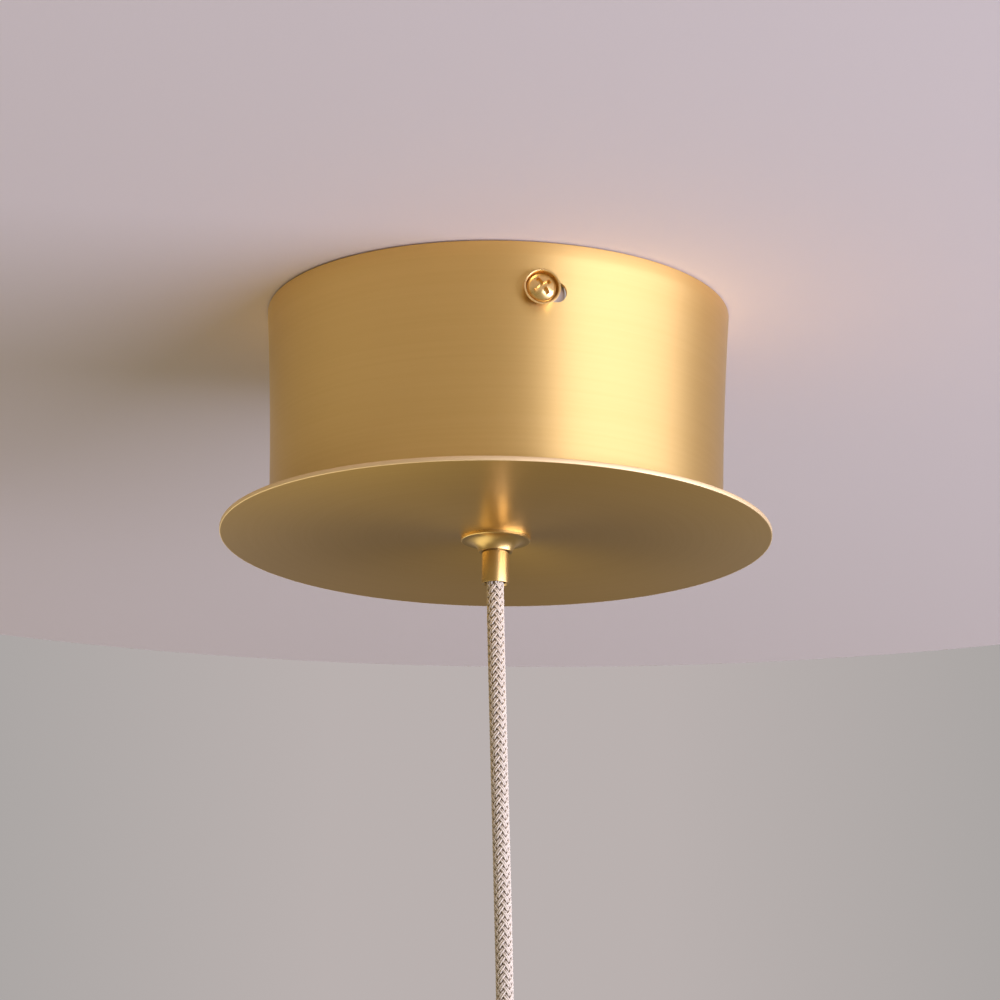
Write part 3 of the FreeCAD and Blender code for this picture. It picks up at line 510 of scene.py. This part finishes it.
# %% Gland
STEM_R, FLANGE_R, NECK_R, NECK_Z = 5.0, 7.5, 3.6, -54.0
gland_outline = (
    [(3.05, NECK_Z)]
    + bow((NECK_R, NECK_Z), (FLANGE_R - 0.15, -51.6), 3.3, -1, 16)
    + [(FLANGE_R, -51.45), (FLANGE_R, DISC_Z), (STEM_R, DISC_Z)]
    + thread(STEM_R, 0.3, -47.9, -42.4, 1.0)
    + [(4.5, -41.9), (2.6, -41.9), (2.6, -45.1), (3.05, -47.7)]
)
gland = finished("gland", turned(gland_outline, steps=128))
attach(gland, "canopy")
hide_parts("cord_gland")

# %% [markdown]
# The same ferrule is used twice: under the canopy it points down, and at the lamp end the same turned part
# stands on its head. So it gets a function that draws it upward from its mouth, and a matrix puts it in
# place.

# %% Ferrules
def ferrule_outline():
    """Radius and height above the ferrule's mouth: countersink, plain body, groove, thread."""
    return (
        [(2.65, 0), (2.78, 0), (2.9, 0.05), (2.95, 0.18)]
        + [(2.95, 6.8), (2.92, 6.85), (2.7, 6.85), (2.7, 7.35)]
        + thread(3.0, 0.22, 7.4, 11.2, 0.75)
        + [(2.8, 11.6), (2.3, 11.6), (2.3, 0.35)]
    )


UPRIGHT = Matrix.Translation(Vector(MOUTH))
ON_ITS_HEAD = Matrix.Translation(Vector(LAMP_MOUTH)) @ Matrix.Rotation(math.pi, 4, "X")
ferrule = finished("ferrule", turned(ferrule_outline(), steps=96), UPRIGHT)
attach(ferrule, "clamp_ferrule")
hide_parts("clamp_ferrule")

# %% [markdown]
# ## The lamp end's grip
# Below the picture the cord ends in a turned grip with a hollow threaded nipple, on to which a lampholder
# screws. It repeats the gland's trumpet, so the two ends of the cord look like a pair.

# %% Lamp ferrule, grip and nipple
lamp_ferrule = finished("lamp_end_ferrule", turned(ferrule_outline(), steps=96), ON_ITS_HEAD)
grip_outline = (
    [(3.05, 7.1)]
    + bow((NECK_R, 7.1), (FLANGE_R - 0.15, 9.5), 3.3, 1, 16)
    + [(FLANGE_R, 9.65), (FLANGE_R, 21.35), (FLANGE_R - 0.15, 21.5), (5.05, 21.5), (5.05, 16.5)]
    + [(2.6, 16.5), (2.6, 16.0), (3.05, 13.4)]
)
lamp_grip = finished("lamp_end_grip", turned(grip_outline, steps=128), ON_ITS_HEAD)
nipple_outline = (
    [(3.5, 16.5), (5.0, 16.5), (5.0, 25.5), (4.6, 25.55), (4.6, 25.95)]
    + thread(5.0, 0.3, 26.0, 30.1, 1.0)
    + [(4.5, 30.5), (3.7, 30.5), (3.5, 30.3)]
)
lamp_nipple = finished("lamp_end_nipple", turned(nipple_outline, steps=96), ON_ITS_HEAD)
for piece, node, metal in (
    (lamp_ferrule, "lamp_ferrule", "polished_brass"),
    (lamp_grip, "lamp_grip", "polished_brass"),
    (lamp_nipple, "lamp_nipple", "zinc_steel"),
):
    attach(piece, "lamp_end")
    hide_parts(node)

# %% [markdown]
# ## The side screws
# A domed screw with a cross recess sits in a dished washer, whose turned-up rim frames the head like a
# small cup. They are drawn with Z pointing out of the drum, then laid on their side: one in front, one
# turned half round behind. The recess is a tapered cross, extruded from one flat cross-shaped face, shrunk
# at its bottom, and cut out.

# %% Dished washer
WASHER_FOOT = 51.62
LAID_DOWN = Matrix.Rotation(math.pi / 2, 4, "X")
SCREW_FRONT = Matrix.Translation(Vector((0, -WASHER_FOOT * MM, SCREW_Z * MM))) @ LAID_DOWN
SCREW_REAR = Matrix.Rotation(math.pi, 4, "Z") @ SCREW_FRONT
WASHER_OUTLINE = [(2.2, 0), (3.3, 0), (3.9, 1.3), (3.9, 1.6), (3.5, 1.6), (3.1, 0.4), (2.2, 0.4)]


def dished_washer(name, where):
    return finished(name, turned(WASHER_OUTLINE, steps=96, broken=0.09), where)


# %% Domed screw
HEAD_R, HEAD_SEAT, HEAD_SIDE, HEAD_TOP = 2.85, 0.4, 1.1, 2.2
DOME_R = (HEAD_R**2 + (HEAD_TOP - HEAD_SIDE) ** 2) / (2 * (HEAD_TOP - HEAD_SIDE))
SCREW_OUTLINE = (
    [(0, -11.6), (1.5, -11.6)]
    + thread(2.0, 0.26, -11.1, -0.2, 0.7)
    + [(2.0, HEAD_SEAT), (HEAD_R - 0.1, HEAD_SEAT), (HEAD_R, HEAD_SEAT + 0.1)]
    + bow((HEAD_R, HEAD_SIDE), (0, HEAD_TOP), DOME_R, 1, 14)
)
SCREW_OUTLINE[-1] = (0, HEAD_TOP)


def recess_cutter():
    """A cross that narrows towards its bottom."""
    cross = bmesh.new()
    arm, half, top, bottom = 2.5, 0.55, 2.5, 0.9
    shrink, turn = 0.62, math.radians(36)
    corners = [(half, half), (half, arm), (-half, arm), (-half, half), (-arm, half), (-arm, -half),
               (-half, -half), (-half, -arm), (half, -arm), (half, -half), (arm, -half), (arm, half)]
    face = cross.faces.new([cross.verts.new((x * MM, y * MM, top * MM)) for x, y in corners])
    grown = bmesh.ops.extrude_face_region(cross, geom=[face])
    low = [part for part in grown["geom"] if isinstance(part, bmesh.types.BMVert)]
    bmesh.ops.translate(cross, vec=(0, 0, (bottom - top) * MM), verts=low)
    bmesh.ops.scale(cross, vec=(shrink, shrink, 1), verts=low)
    bmesh.ops.rotate(cross, cent=(0, 0, 0), matrix=Matrix.Rotation(turn, 3, "Z"), verts=cross.verts[:])
    bmesh.ops.recalc_face_normals(cross, faces=cross.faces[:])
    return finished("recess", cross)


def domed_screw(name, where):
    screw = finished(name, turned(SCREW_OUTLINE, steps=72))
    cut(screw, [recess_cutter()])
    screw.data.transform(where)
    return screw


# %% Both sides
for side, where in (("front", SCREW_FRONT), ("rear", SCREW_REAR)):
    washer = dished_washer("washer_" + side, where)
    screw = domed_screw("screw_" + side, where)
    for piece, node in ((washer, "side_washer_" + side), (screw, "side_screw_" + side)):
        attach(piece, node)
        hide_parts(node)

# %% [markdown]
# ## Finishes
# Every finish is a Principled shader whose colour, roughness and bump come from noise at the scale of the
# real surface. A few small helpers keep the node code short: they start a material, add a node, make noise
# that is stretched differently along each axis, map one range to another, blend two colours, and wire the
# result up.

# %% Helpers for finishes
NOISE_LOW, NOISE_HIGH = 0.3, 0.7  # nearly all of a noise's values lie between these


def finish(name, colour, roughness, metallic=0.0):
    made = bpy.data.materials.new(name)
    made.use_nodes = True
    shader = made.node_tree.nodes["Principled BSDF"]
    shader.inputs["Base Color"].default_value = (*colour, 1)
    shader.inputs["Roughness"].default_value = roughness
    shader.inputs["Metallic"].default_value = metallic
    return made


def add(made, kind, wires=None, values=None, **settings):
    """Adds a node, sets its settings and socket values, and wires other nodes' outputs to its sockets."""
    node = made.node_tree.nodes.new(kind)
    for name, value in settings.items():
        setattr(node, name, value)
    for socket, value in (values or {}).items():
        node.inputs[socket].default_value = value
    for socket, output in (wires or {}).items():
        made.node_tree.links.new(output, node.inputs[socket])
    return node


def stretched_noise(made, scale, detail=2.0, rough=0.5, vector=None):
    """Noise on object coordinates, with its own scale for each axis, in features per metre."""
    if vector is None:
        vector = add(made, "ShaderNodeTexCoord").outputs["Object"]
    mapping = add(made, "ShaderNodeMapping", {"Vector": vector}, {"Scale": scale})
    noise = add(
        made, "ShaderNodeTexNoise", {"Vector": mapping.outputs["Vector"]},
        {"Scale": 1.0, "Detail": detail, "Roughness": rough},
    )
    return noise.outputs["Fac"]


def between(made, value, low, high, to_low, to_high):
    """Maps a value's range to another."""
    node = add(
        made, "ShaderNodeMapRange", {"Value": value},
        {"From Min": low, "From Max": high, "To Min": to_low, "To Max": to_high},
    )
    return node.outputs["Result"]


def blend_colours(made, share, first, second):
    node = add(made, "ShaderNodeMix", {"Factor": share}, data_type="RGBA")
    node.inputs["A"].default_value = (*first, 1)
    node.inputs["B"].default_value = (*second, 1)
    return node.outputs["Result"]


def wire(made, output, socket):
    made.node_tree.links.new(output, made.node_tree.nodes["Principled BSDF"].inputs[socket])


def vary_roughness(made, noise, middle, spread):
    """Roughness that wanders with the noise, as far as spread to either side of its middle."""
    wire(made, between(made, noise, NOISE_LOW, NOISE_HIGH, middle - spread, middle + spread), "Roughness")


def rough_up(made, height, strength, distance):
    """Bump from a height."""
    node = add(made, "ShaderNodeBump", {"Height": height}, {"Strength": strength, "Distance": distance})
    wire(made, node.outputs["Normal"], "Normal")


# %% [markdown]
# Satin brass is brushed while the drum turns, so its scratches run round it. Light spreads across
# scratches, which is what the anisotropic sockets do: the tangent runs round the axis by default, and a
# quarter turn lays the spread up and down the drum, and in and out on the disc. That gives the disc its fan
# of light and dark wedges. On the drum the scratches are noise stretched along X and Y; on the disc they
# are noise along the radius.

# %% Satin brass
BRASS_PALE, BRASS_DEEP = (0.81, 0.55, 0.185), (0.795, 0.535, 0.175)
DISC_PALE, DISC_DEEP = (0.81, 0.515, 0.15), (0.795, 0.50, 0.14)
QUARTER_TURN = 0.25


def satin_brass(name, scratches, streaks, roughness, spread, pale, deep):
    """Brass with fine scratches in its bump and roughness, and broader streaks in its colour."""
    made = finish(name, pale, roughness, 1.0)
    shader = made.node_tree.nodes["Principled BSDF"]
    shader.inputs["Anisotropic"].default_value = spread
    shader.inputs["Anisotropic Rotation"].default_value = QUARTER_TURN
    lines = scratches(made)
    bands = streaks(made)
    wire(made, blend_colours(made, between(made, bands, 0.35, 0.65, 0, 1), deep, pale), "Base Color")
    vary_roughness(made, lines, roughness, 0.012)
    rough_up(made, lines, 0.025, 0.00003)
    return made


def radial(made):
    """Object coordinates as radius, and where round the disc."""
    spot = add(made, "ShaderNodeSeparateXYZ", {"Vector": add(made, "ShaderNodeTexCoord").outputs["Object"]})
    flat = add(made, "ShaderNodeCombineXYZ", {"X": spot.outputs["X"], "Y": spot.outputs["Y"]})
    from_axis = {"Vector": flat.outputs["Vector"]}
    radius = add(made, "ShaderNodeVectorMath", from_axis, operation="LENGTH").outputs["Value"]
    heading = add(made, "ShaderNodeVectorMath", from_axis, operation="NORMALIZE").outputs["Vector"]
    parts = add(made, "ShaderNodeSeparateXYZ", {"Vector": heading})
    return add(
        made, "ShaderNodeCombineXYZ", {"X": radius, "Y": parts.outputs["X"], "Z": parts.outputs["Y"]},
    ).outputs["Vector"]


satin_drum = satin_brass(
    "satin_brass_drum",
    lambda made: stretched_noise(made, (35, 35, 5200), 3, 0.6),
    lambda made: stretched_noise(made, (14, 14, 1300), 2, 0.5),
    roughness=0.41, spread=0.6, pale=BRASS_PALE, deep=BRASS_DEEP,
)
satin_disc = satin_brass(
    "satin_brass_disc",
    lambda made: stretched_noise(made, (5200, 1.5, 1.5), 3, 0.6, radial(made)),
    lambda made: stretched_noise(made, (1300, 0.8, 0.8), 2, 0.5, radial(made)),
    roughness=0.31, spread=0.55, pale=DISC_PALE, deep=DISC_DEEP,
)
print("brushed:", satin_drum.name, "and", satin_disc.name)

# %% [markdown]
# The disc is brushed after it is cut, so its 1 mm edge stays a bare cut: rough in every direction, and
# paler, partly as bare metal and partly as a painted highlight for its brightly lit rim. Past the radius
# where the edge begins, the disc's material changes over to that.

# %% The disc's bare edge
EDGE_STARTS, EDGE_IS_BARE = 59.75 * MM, 59.85 * MM
BARE_EDGE = {"Roughness": 0.62, "Anisotropic": 0.0}
# BARE_PALE_AND_LIT is partly the bare metal's colour and partly a painted highlight on the lit rim.
BARE_PALE_AND_LIT = (0.90, 0.68, 0.36, 1)

reach = add(satin_disc, "ShaderNodeSeparateXYZ", {"Vector": radial(satin_disc)}).outputs["X"]
bare = between(satin_disc, reach, EDGE_STARTS, EDGE_IS_BARE, 0, 1)
brushed = satin_disc.node_tree.nodes["Principled BSDF"].inputs
for name, level in BARE_EDGE.items():
    levels_of_both = {"A": brushed[name].default_value, "B": level}
    change = add(satin_disc, "ShaderNodeMix", {"Factor": bare}, levels_of_both)
    if brushed[name].is_linked:
        satin_disc.node_tree.links.new(brushed[name].links[0].from_socket, change.inputs["A"])
    wire(satin_disc, change.outputs["Result"], name)
brushed_colour = brushed["Base Color"].links[0].from_socket
# The edge's paler colour: part bare metal, part painted highlight.
change = add(satin_disc, "ShaderNodeMix", {"Factor": bare, "A": brushed_colour}, data_type="RGBA")
change.inputs["B"].default_value = BARE_PALE_AND_LIT
wire(satin_disc, change.outputs["Result"], "Base Color")

drum.data.materials.clear()
drum.data.materials.append(satin_drum)
disc.data.materials.clear()
disc.data.materials.append(satin_disc)

# %% [markdown]
# The gland, the ferrules and the grip come straight off a lathe and are lacquered: a deeper, darker brass
# than the drum's, with only a trace of turning lines. The side screws and their washers are bought parts of
# paler, shinier brass, marked here and there by the screwdriver, so their roughness and colour wander with
# an even noise.

# %% Polished brass
TURNED_BRASS, TURNED_ROUGHNESS = (0.57, 0.375, 0.125), 0.38
SCREW_BRASS, SCREW_WORN, SCREW_BRIGHT = (0.84, 0.59, 0.23), (0.80, 0.53, 0.18), (0.88, 0.64, 0.27)

polished = finish("polished_brass_turned", TURNED_BRASS, TURNED_ROUGHNESS, 1.0)
turning_lines = stretched_noise(polished, (120, 120, 9000), 2, 0.5)
vary_roughness(polished, turning_lines, TURNED_ROUGHNESS, 0.03)
rough_up(polished, turning_lines, 0.06, 0.00003)

screw_brass = finish("polished_brass_screw", SCREW_BRASS, 0.3, 1.0)
wear = stretched_noise(screw_brass, (900, 900, 900), 3, 0.6)
vary_roughness(screw_brass, wear, 0.31, 0.05)
wire(screw_brass, blend_colours(screw_brass, wear, SCREW_WORN, SCREW_BRIGHT), "Base Color")
print("turned:", polished.name, "and", screw_brass.name)

# %% [markdown]
# Hidden metal is plainer: zinc-plated steel with its cloudy spangle, bare terminal brass, and tinned
# copper.

# %% Hidden metals
def hidden_metal(name, first, second, roughness, grain):
    made = finish(name, first, roughness, 1.0)
    cloud = stretched_noise(made, (grain, grain, grain), 4, 0.6)
    share = between(made, cloud, NOISE_LOW, NOISE_HIGH, 0, 1)
    wire(made, blend_colours(made, share, first, second), "Base Color")
    vary_roughness(made, cloud, roughness, 0.08)
    rough_up(made, cloud, 0.1, 0.00005)
    return made


zinc = hidden_metal("zinc_plate", (0.58, 0.545, 0.49), (0.70, 0.665, 0.61), 0.38, 260)
bare_brass = hidden_metal("bare_brass", (0.66, 0.47, 0.20), (0.78, 0.60, 0.30), 0.3, 500)
tinned = hidden_metal("tinned_copper_ring", (0.66, 0.60, 0.55), (0.76, 0.72, 0.68), 0.34, 400)

# %% [markdown]
# Moulded plastics get a faint grain, and a little light passes into them.

# %% Plastics and insulation
LIGHT_INSIDE = 0.12
PVC_GRAIN, PVC_DEPTH = 3000, 0.0002


def plastic(name, first, second, roughness, grain=1800, deep=0.0004):
    made = finish(name, first, roughness)
    shader = made.node_tree.nodes["Principled BSDF"]
    shader.inputs["Subsurface Weight"].default_value = LIGHT_INSIDE
    shader.inputs["Subsurface Scale"].default_value = deep
    tone = stretched_noise(made, (grain / 6, grain / 6, grain / 6), 2, 0.5)
    skin = stretched_noise(made, (grain, grain, grain), 2, 0.5)
    wire(made, blend_colours(made, tone, first, second), "Base Color")
    vary_roughness(made, skin, roughness, 0.06)
    rough_up(made, skin, 0.12, 0.00003)
    return made


housing_plastic = plastic("block_plastic", (0.74, 0.71, 0.64), (0.80, 0.77, 0.70), 0.42)
collet_nylon = plastic("natural_nylon", (0.80, 0.77, 0.69), (0.86, 0.84, 0.77), 0.38)
live_pvc = plastic("live_brown", (0.145, 0.055, 0.028), (0.17, 0.066, 0.034), 0.36, PVC_GRAIN, PVC_DEPTH)
neutral_pvc = plastic("neutral_blue", (0.018, 0.13, 0.42), (0.026, 0.16, 0.48), 0.36, PVC_GRAIN, PVC_DEPTH)

# %% [markdown]
# An earth wire has a green and a yellow stripe along it in a slow twist. The stripes need to know where
# round the wire they are, so each point stores that as a number from its own line.

# %% Green and yellow
GREEN, STRIPE_GREEN, STRIPE_YELLOW = (0.05, 0.27, 0.05), (0.045, 0.25, 0.045), (0.78, 0.62, 0.03)
STRIPE_STARTS, STRIPE_IS_FULL = 0.55, 0.65
TWIST = 300  # radians per metre
OFF_EVERY_WIRE = (0.3, 0.5, 0.81)  # a direction that neither wire starts out in


def store_turn(piece, line, twist):
    """Writes to each point of a wire how far round it lies, 0 to 1, in a frame that slides down the line."""
    tangent = np.gradient(line, axis=0)
    tangent /= np.linalg.norm(tangent, axis=1)[:, None]
    side = np.cross(tangent[0], OFF_EVERY_WIRE)
    frames = []
    for direction in tangent:
        side = side - direction * side.dot(direction)
        side /= np.linalg.norm(side)
        frames.append((side, np.cross(direction, side)))
    run = along(line)
    mesh = piece.data
    spots = np.empty(len(mesh.vertices) * 3)
    mesh.vertices.foreach_get("co", spots)
    spots = spots.reshape(-1, 3)
    values = []
    for spot in spots:
        nearest = int(np.argmin(((line - spot) ** 2).sum(axis=1)))
        out = spot - line[nearest]
        first, second = frames[nearest]
        turn = math.atan2(out.dot(second), out.dot(first)) + twist * run[nearest]
        values.append(0.5 + 0.5 * math.sin(turn))
    stripe = mesh.attributes.new("stripe", "FLOAT", "POINT")
    stripe.data.foreach_set("value", values)


earth_pvc = plastic("earth_green_yellow", GREEN, GREEN, 0.36, PVC_GRAIN, PVC_DEPTH)
stripe = add(earth_pvc, "ShaderNodeAttribute", attribute_name="stripe")
edge = between(earth_pvc, stripe.outputs["Fac"], STRIPE_STARTS, STRIPE_IS_FULL, 0, 1)
wire(earth_pvc, blend_colours(earth_pvc, edge, STRIPE_GREEN, STRIPE_YELLOW), "Base Color")
store_turn(*wires["earth"], TWIST)
store_turn(*wires["lead"], TWIST)

for core, pvc in (("live", live_pvc), ("neutral", neutral_pvc), ("earth", earth_pvc), ("lead", earth_pvc)):
    wires[core][0].data.materials.append(pvc)

# %% [markdown]
# ## Braid finish
# The yarn is a matt cream polyester. Its hollows get painted shade, a darker colour where little light gets
# in and none comes back, and its crowns carry a faint sheen. Fine noise stands for the filaments.

# %% Cream yarn
# PAINTED_HOLLOW_SHADE is painted shade for the hollows between the stitches; CREAM_CROWN is the yarn's own
# colour.
CREAM, PAINTED_HOLLOW_SHADE, CREAM_CROWN = (0.72, 0.62, 0.50), (0.32, 0.24, 0.16), (0.78, 0.68, 0.50)
FLECK_TONE = (0.62, 0.55, 0.48, 1)

yarn = finish("cream_yarn", CREAM, 0.78)
yarn_sockets = yarn.node_tree.nodes["Principled BSDF"].inputs
yarn_sockets["Sheen Weight"].default_value = 0.25
yarn_sockets["Sheen Roughness"].default_value = 0.4
crown = add(yarn, "ShaderNodeAttribute", attribute_name="crown").outputs["Fac"]
fibres = stretched_noise(yarn, (5000, 5000, 2500), 2, 0.6)
# Painted shade: the colour goes to brown in the hollows of the braid, where little light reaches.
out_of_painted_shade = between(yarn, crown, 0.25, 0.85, 0, 1)
shaded_yarn_colour = blend_colours(yarn, out_of_painted_shade, PAINTED_HOLLOW_SHADE, CREAM_CROWN)
flecked = between(yarn, fibres, 0.35, 0.65, 0, 0.35)
fleck = add(yarn, "ShaderNodeMix", {"Factor": flecked, "A": shaded_yarn_colour}, data_type="RGBA", blend_type="MULTIPLY")
fleck.inputs["B"].default_value = FLECK_TONE
wire(yarn, fleck.outputs["Result"], "Base Color")
rough_up(yarn, fibres, 0.35, 0.00006)
for cord in (braid_inner, braid_hanging, braid_tail):
    cord.data.materials.append(yarn)

# %% [markdown]
# ## Dressing the pieces
# New turned pieces take their metal here, and the CAD nodes that keep their own mesh get the same finishes
# on their slots.

# %% Materials on pieces and CAD nodes
for name, metal in (
    ("gland", polished), ("ferrule", polished), ("lamp_end_ferrule", polished), ("lamp_end_grip", polished),
    ("lamp_end_nipple", zinc), ("washer_front", screw_brass), ("washer_rear", screw_brass),
    ("screw_front", screw_brass), ("screw_rear", screw_brass),
):
    dressed = bpy.data.objects[name]
    dressed.data.materials.clear()
    dressed.data.materials.append(metal)

for metal, kept in (
    (zinc, ("ceiling_bracket", "lug_nuts", "gland_washer", "gland_nut", "terminal_studs", "terminal_nuts",
            "terminal_screws", "earth_stud", "earth_washer", "earth_nut", "lamp_washer", "lamp_nut")),
    (bare_brass, ("terminal_sleeves",)),
    (tinned, ("earth_ring",)),
    (collet_nylon, ("clamp_collet", "lamp_collet")),
    (housing_plastic, ("terminal_housing",)),
):
    for name in kept:
        for seat in nodes[name].material_slots:
            seat.material = metal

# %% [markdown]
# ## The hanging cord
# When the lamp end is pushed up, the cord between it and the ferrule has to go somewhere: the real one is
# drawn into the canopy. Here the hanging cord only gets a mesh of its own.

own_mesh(braid_hanging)

# %% [markdown]
# ## Ceiling, wall and light
# The canopy hangs from a pale ceiling in front of a curved wall, and that is all the photograph shows round
# it. The ceiling has a hole where the drum covers it, so that light can reach the wiring when one looks in
# from above, and both sheets are see-through from behind, so that no view is blocked.

# %% Ceiling and wall
def paint(name, colour, grain):
    made = finish(name, colour, 0.85)
    skin = stretched_noise(made, (grain, grain, grain), 4, 0.6)
    rough_up(made, skin, 0.08, 0.0002)
    tree = made.node_tree
    painted = tree.nodes["Principled BSDF"].outputs["BSDF"]
    behind = add(made, "ShaderNodeNewGeometry").outputs["Backfacing"]
    clear = add(made, "ShaderNodeBsdfTransparent").outputs["BSDF"]
    mix = add(made, "ShaderNodeMixShader", {"Fac": behind, 1: painted, 2: clear})
    tree.links.new(mix.outputs["Shader"], tree.nodes["Material Output"].inputs["Surface"])
    return made


def swept_sheet(name, outline, angle, steps, first, made):
    """A sheet from an open outline of radius and height, in metres, swept round the Z axis."""
    sheet = bmesh.new()
    corners = [sheet.verts.new((r * math.sin(first), r * math.cos(first), z)) for r, z in outline]
    chain = [sheet.edges.new(pair) for pair in zip(corners, corners[1:])]
    bmesh.ops.spin(
        sheet, geom=corners + chain, cent=(0, 0, 0), axis=(0, 0, -1), angle=angle, steps=steps,
        use_merge=angle > math.radians(359),
    )
    mesh = bpy.data.meshes.new(name)
    sheet.to_mesh(mesh)
    sheet.free()
    mesh.shade_smooth()
    mesh.materials.append(made)
    piece = show(name, mesh)
    return piece


CEILING_Z = -0.0002
CEILING_RADII = (0.046, 0.1, 0.335)
WALL_AWAY, WALL_HEIGHTS, WALL_SWEEP = 1.4, (0.9, 0, -0.9), math.radians(70)

ceiling_paint = paint("ceiling_paint", (0.83, 0.735, 0.655), 900)
wall_paint = paint("wall_paint", (0.49, 0.44, 0.43), 500)
ceiling = swept_sheet("ceiling", [(r, CEILING_Z) for r in CEILING_RADII], 2 * math.pi, 128, 0, ceiling_paint)
wall = swept_sheet(
    "wall", [(WALL_AWAY, z) for z in WALL_HEIGHTS], WALL_SWEEP, 60, TURN - WALL_SWEEP / 2, wall_paint,
)
for sheet, way in ((ceiling, Vector((0, 0, -1))), (wall, -ahead_level)):
    shape = bmesh.new()
    shape.from_mesh(sheet.data)
    facing = sum(face.normal.dot(way) * face.calc_area() for face in shape.faces)
    if facing < 0:
        bmesh.ops.reverse_faces(shape, faces=shape.faces[:])
        shape.to_mesh(sheet.data)
    shape.free()
print("stage:", ceiling.name, "and", wall.name)

# %% [markdown]
# The wall is far off and evenly lit, so it glows a little by itself: grey in the middle of the picture and
# a bit darker towards its sides, which is painted shade. The brass mirrors the wall too, and in a real room
# that mirrored part is dimmer, except low down at the sides, where a brighter glow is a painted reflection
# of other windows. The Light Path node tells the two apart: the camera sees the full glow, the brass sees
# the dimmer one, and for all other light the wall is plain paint.

# %% The wall's own glow
# WALL_SIDE_SHADE is painted shade: the wall's glow is darker towards its sides.
WALL_MIDDLE, WALL_SIDE_SHADE = (0.49, 0.44, 0.43), (0.41, 0.385, 0.375)
SIDE_STARTS, SIDE_ENDS = 0.1, 0.3
LOW_STARTS, LOW_ENDS = 0.0, -0.12
DIM = 0.3
DIM_ENDS, FULL_STARTS = 0.08, 0.45

wall_spot = add(wall_paint, "ShaderNodeTexCoord").outputs["Object"]
across = add(wall_paint, "ShaderNodeVectorMath", {0: wall_spot}, {1: beside}, operation="DOT_PRODUCT")
unsigned = add(wall_paint, "ShaderNodeMath", {0: across.outputs["Value"]}, operation="ABSOLUTE")
aside = unsigned.outputs["Value"]
towards_side = between(wall_paint, aside, SIDE_STARTS, SIDE_ENDS, 0, 1)
glow_with_painted_side_shade = blend_colours(wall_paint, towards_side, WALL_MIDDLE, WALL_SIDE_SHADE)

height = add(wall_paint, "ShaderNodeSeparateXYZ", {"Vector": wall_spot}).outputs["Z"]
# Painted reflection: low down at the sides the brass sees a brighter glow that stands in for other windows.
low = between(wall_paint, height, LOW_STARTS, LOW_ENDS, 0, 1)
below = between(wall_paint, aside, DIM_ENDS, FULL_STARTS, DIM, 1)
painted_reflection_strength = add(wall_paint, "ShaderNodeMix", {"Factor": low, "B": below}, {"A": DIM}).outputs["Result"]

paths = add(wall_paint, "ShaderNodeLightPath").outputs
strength = add(wall_paint, "ShaderNodeMix", {"Factor": paths["Is Camera Ray"], "A": painted_reflection_strength}, {"B": 1.0})
glow = add(wall_paint, "ShaderNodeEmission", {"Color": glow_with_painted_side_shade, "Strength": strength.outputs["Result"]})
seen = add(
    wall_paint, "ShaderNodeMath", {0: paths["Is Camera Ray"], 1: paths["Is Glossy Ray"]},
    operation="ADD", use_clamp=True,
)
painted = wall_paint.node_tree.nodes["Principled BSDF"].outputs["BSDF"]
see_through = next(node for node in wall_paint.node_tree.nodes if node.type == "MIX_SHADER")
front = add(wall_paint, "ShaderNodeMixShader", {"Fac": seen.outputs["Value"], 1: painted})
wall_paint.node_tree.links.new(glow.outputs["Emission"], front.inputs[2])
wall_paint.node_tree.links.new(front.outputs["Shader"], see_through.inputs[1])
print("the wall has", len(wall_paint.node_tree.nodes), "nodes")

# %% [markdown]
# The key light is a wide soft window to the right of the camera, below the canopy, with the blue of a cool
# sky. It draws the long highlight down the drum and throws the drum's soft shadow to the left, and what the
# brass throws back warms the ceiling on the right. The second window stands low on the left, behind the
# canopy. It is hidden from diffuse light, so that only the metal shows it, as the bright wedge on the disc.
# The world gives the rest, a warm room that is a little brighter behind the camera.

# %% Lights
AIM = Vector((0, 0, -0.02))
COOL_SKY, WARM_SKY, WARM_ROOM = (1.0, 1.04, 1.55), (1.0, 0.97, 0.85), (1.0, 0.88, 0.68, 1)
ROOM_LEVELS = {"From Min": -0.5, "From Max": 1, "To Min": 0.25, "To Max": 0.38}


def room_spot(aside, distance, height):
    """A place in the room: degrees to the right of the camera as seen from the canopy, then metres."""
    angle = math.radians(aside)
    flat = -ahead_level * math.cos(angle) + beside * math.sin(angle)
    return Vector((flat.x * distance, flat.y * distance, height))


def window(name, spot, width, height, power, colour):
    light = bpy.data.lights.new(name, "AREA")
    light.shape = "RECTANGLE"
    light.size = width
    light.size_y = height
    light.energy = power
    light.color = colour
    holder = bpy.data.objects.new(name, light)
    bpy.context.scene.collection.objects.link(holder)
    holder.visible_camera = False
    facing = (AIM - spot).to_track_quat("-Z", "Y").to_matrix().to_4x4()
    holder.matrix_world = Matrix.Translation(spot) @ facing
    return holder


key = window("key_window", room_spot(63, 1.5, -0.42), width=2.2, height=0.5, power=36.5, colour=COOL_SKY)
low_left = window(
    "low_left_window", room_spot(-110, 1.15, -1.4), width=2.0, height=2.0, power=19, colour=WARM_SKY,
)
low_left.visible_diffuse = False
print("windows:", key.name, "and", low_left.name)

# %% The room's own light
world = bpy.data.worlds.new("room")
bpy.context.scene.world = world
world.use_nodes = True
background = world.node_tree.nodes["Background"]
background.inputs["Color"].default_value = WARM_ROOM
direction = add(world, "ShaderNodeTexCoord").outputs["Generated"]
behind_camera = room_spot(10, 0.8, 0.1).normalized()
towards = add(world, "ShaderNodeVectorMath", {0: direction}, {1: behind_camera}, operation="DOT_PRODUCT")
level = add(
    world, "ShaderNodeMapRange", {"Value": towards.outputs["Value"]}, ROOM_LEVELS,
    interpolation_type="SMOOTHSTEP",
)
world.node_tree.links.new(level.outputs["Result"], background.inputs["Strength"])
bpy.context.scene.view_settings.view_transform = "Standard"
print("the room's light goes from", ROOM_LEVELS["To Min"], "to", ROOM_LEVELS["To Max"])
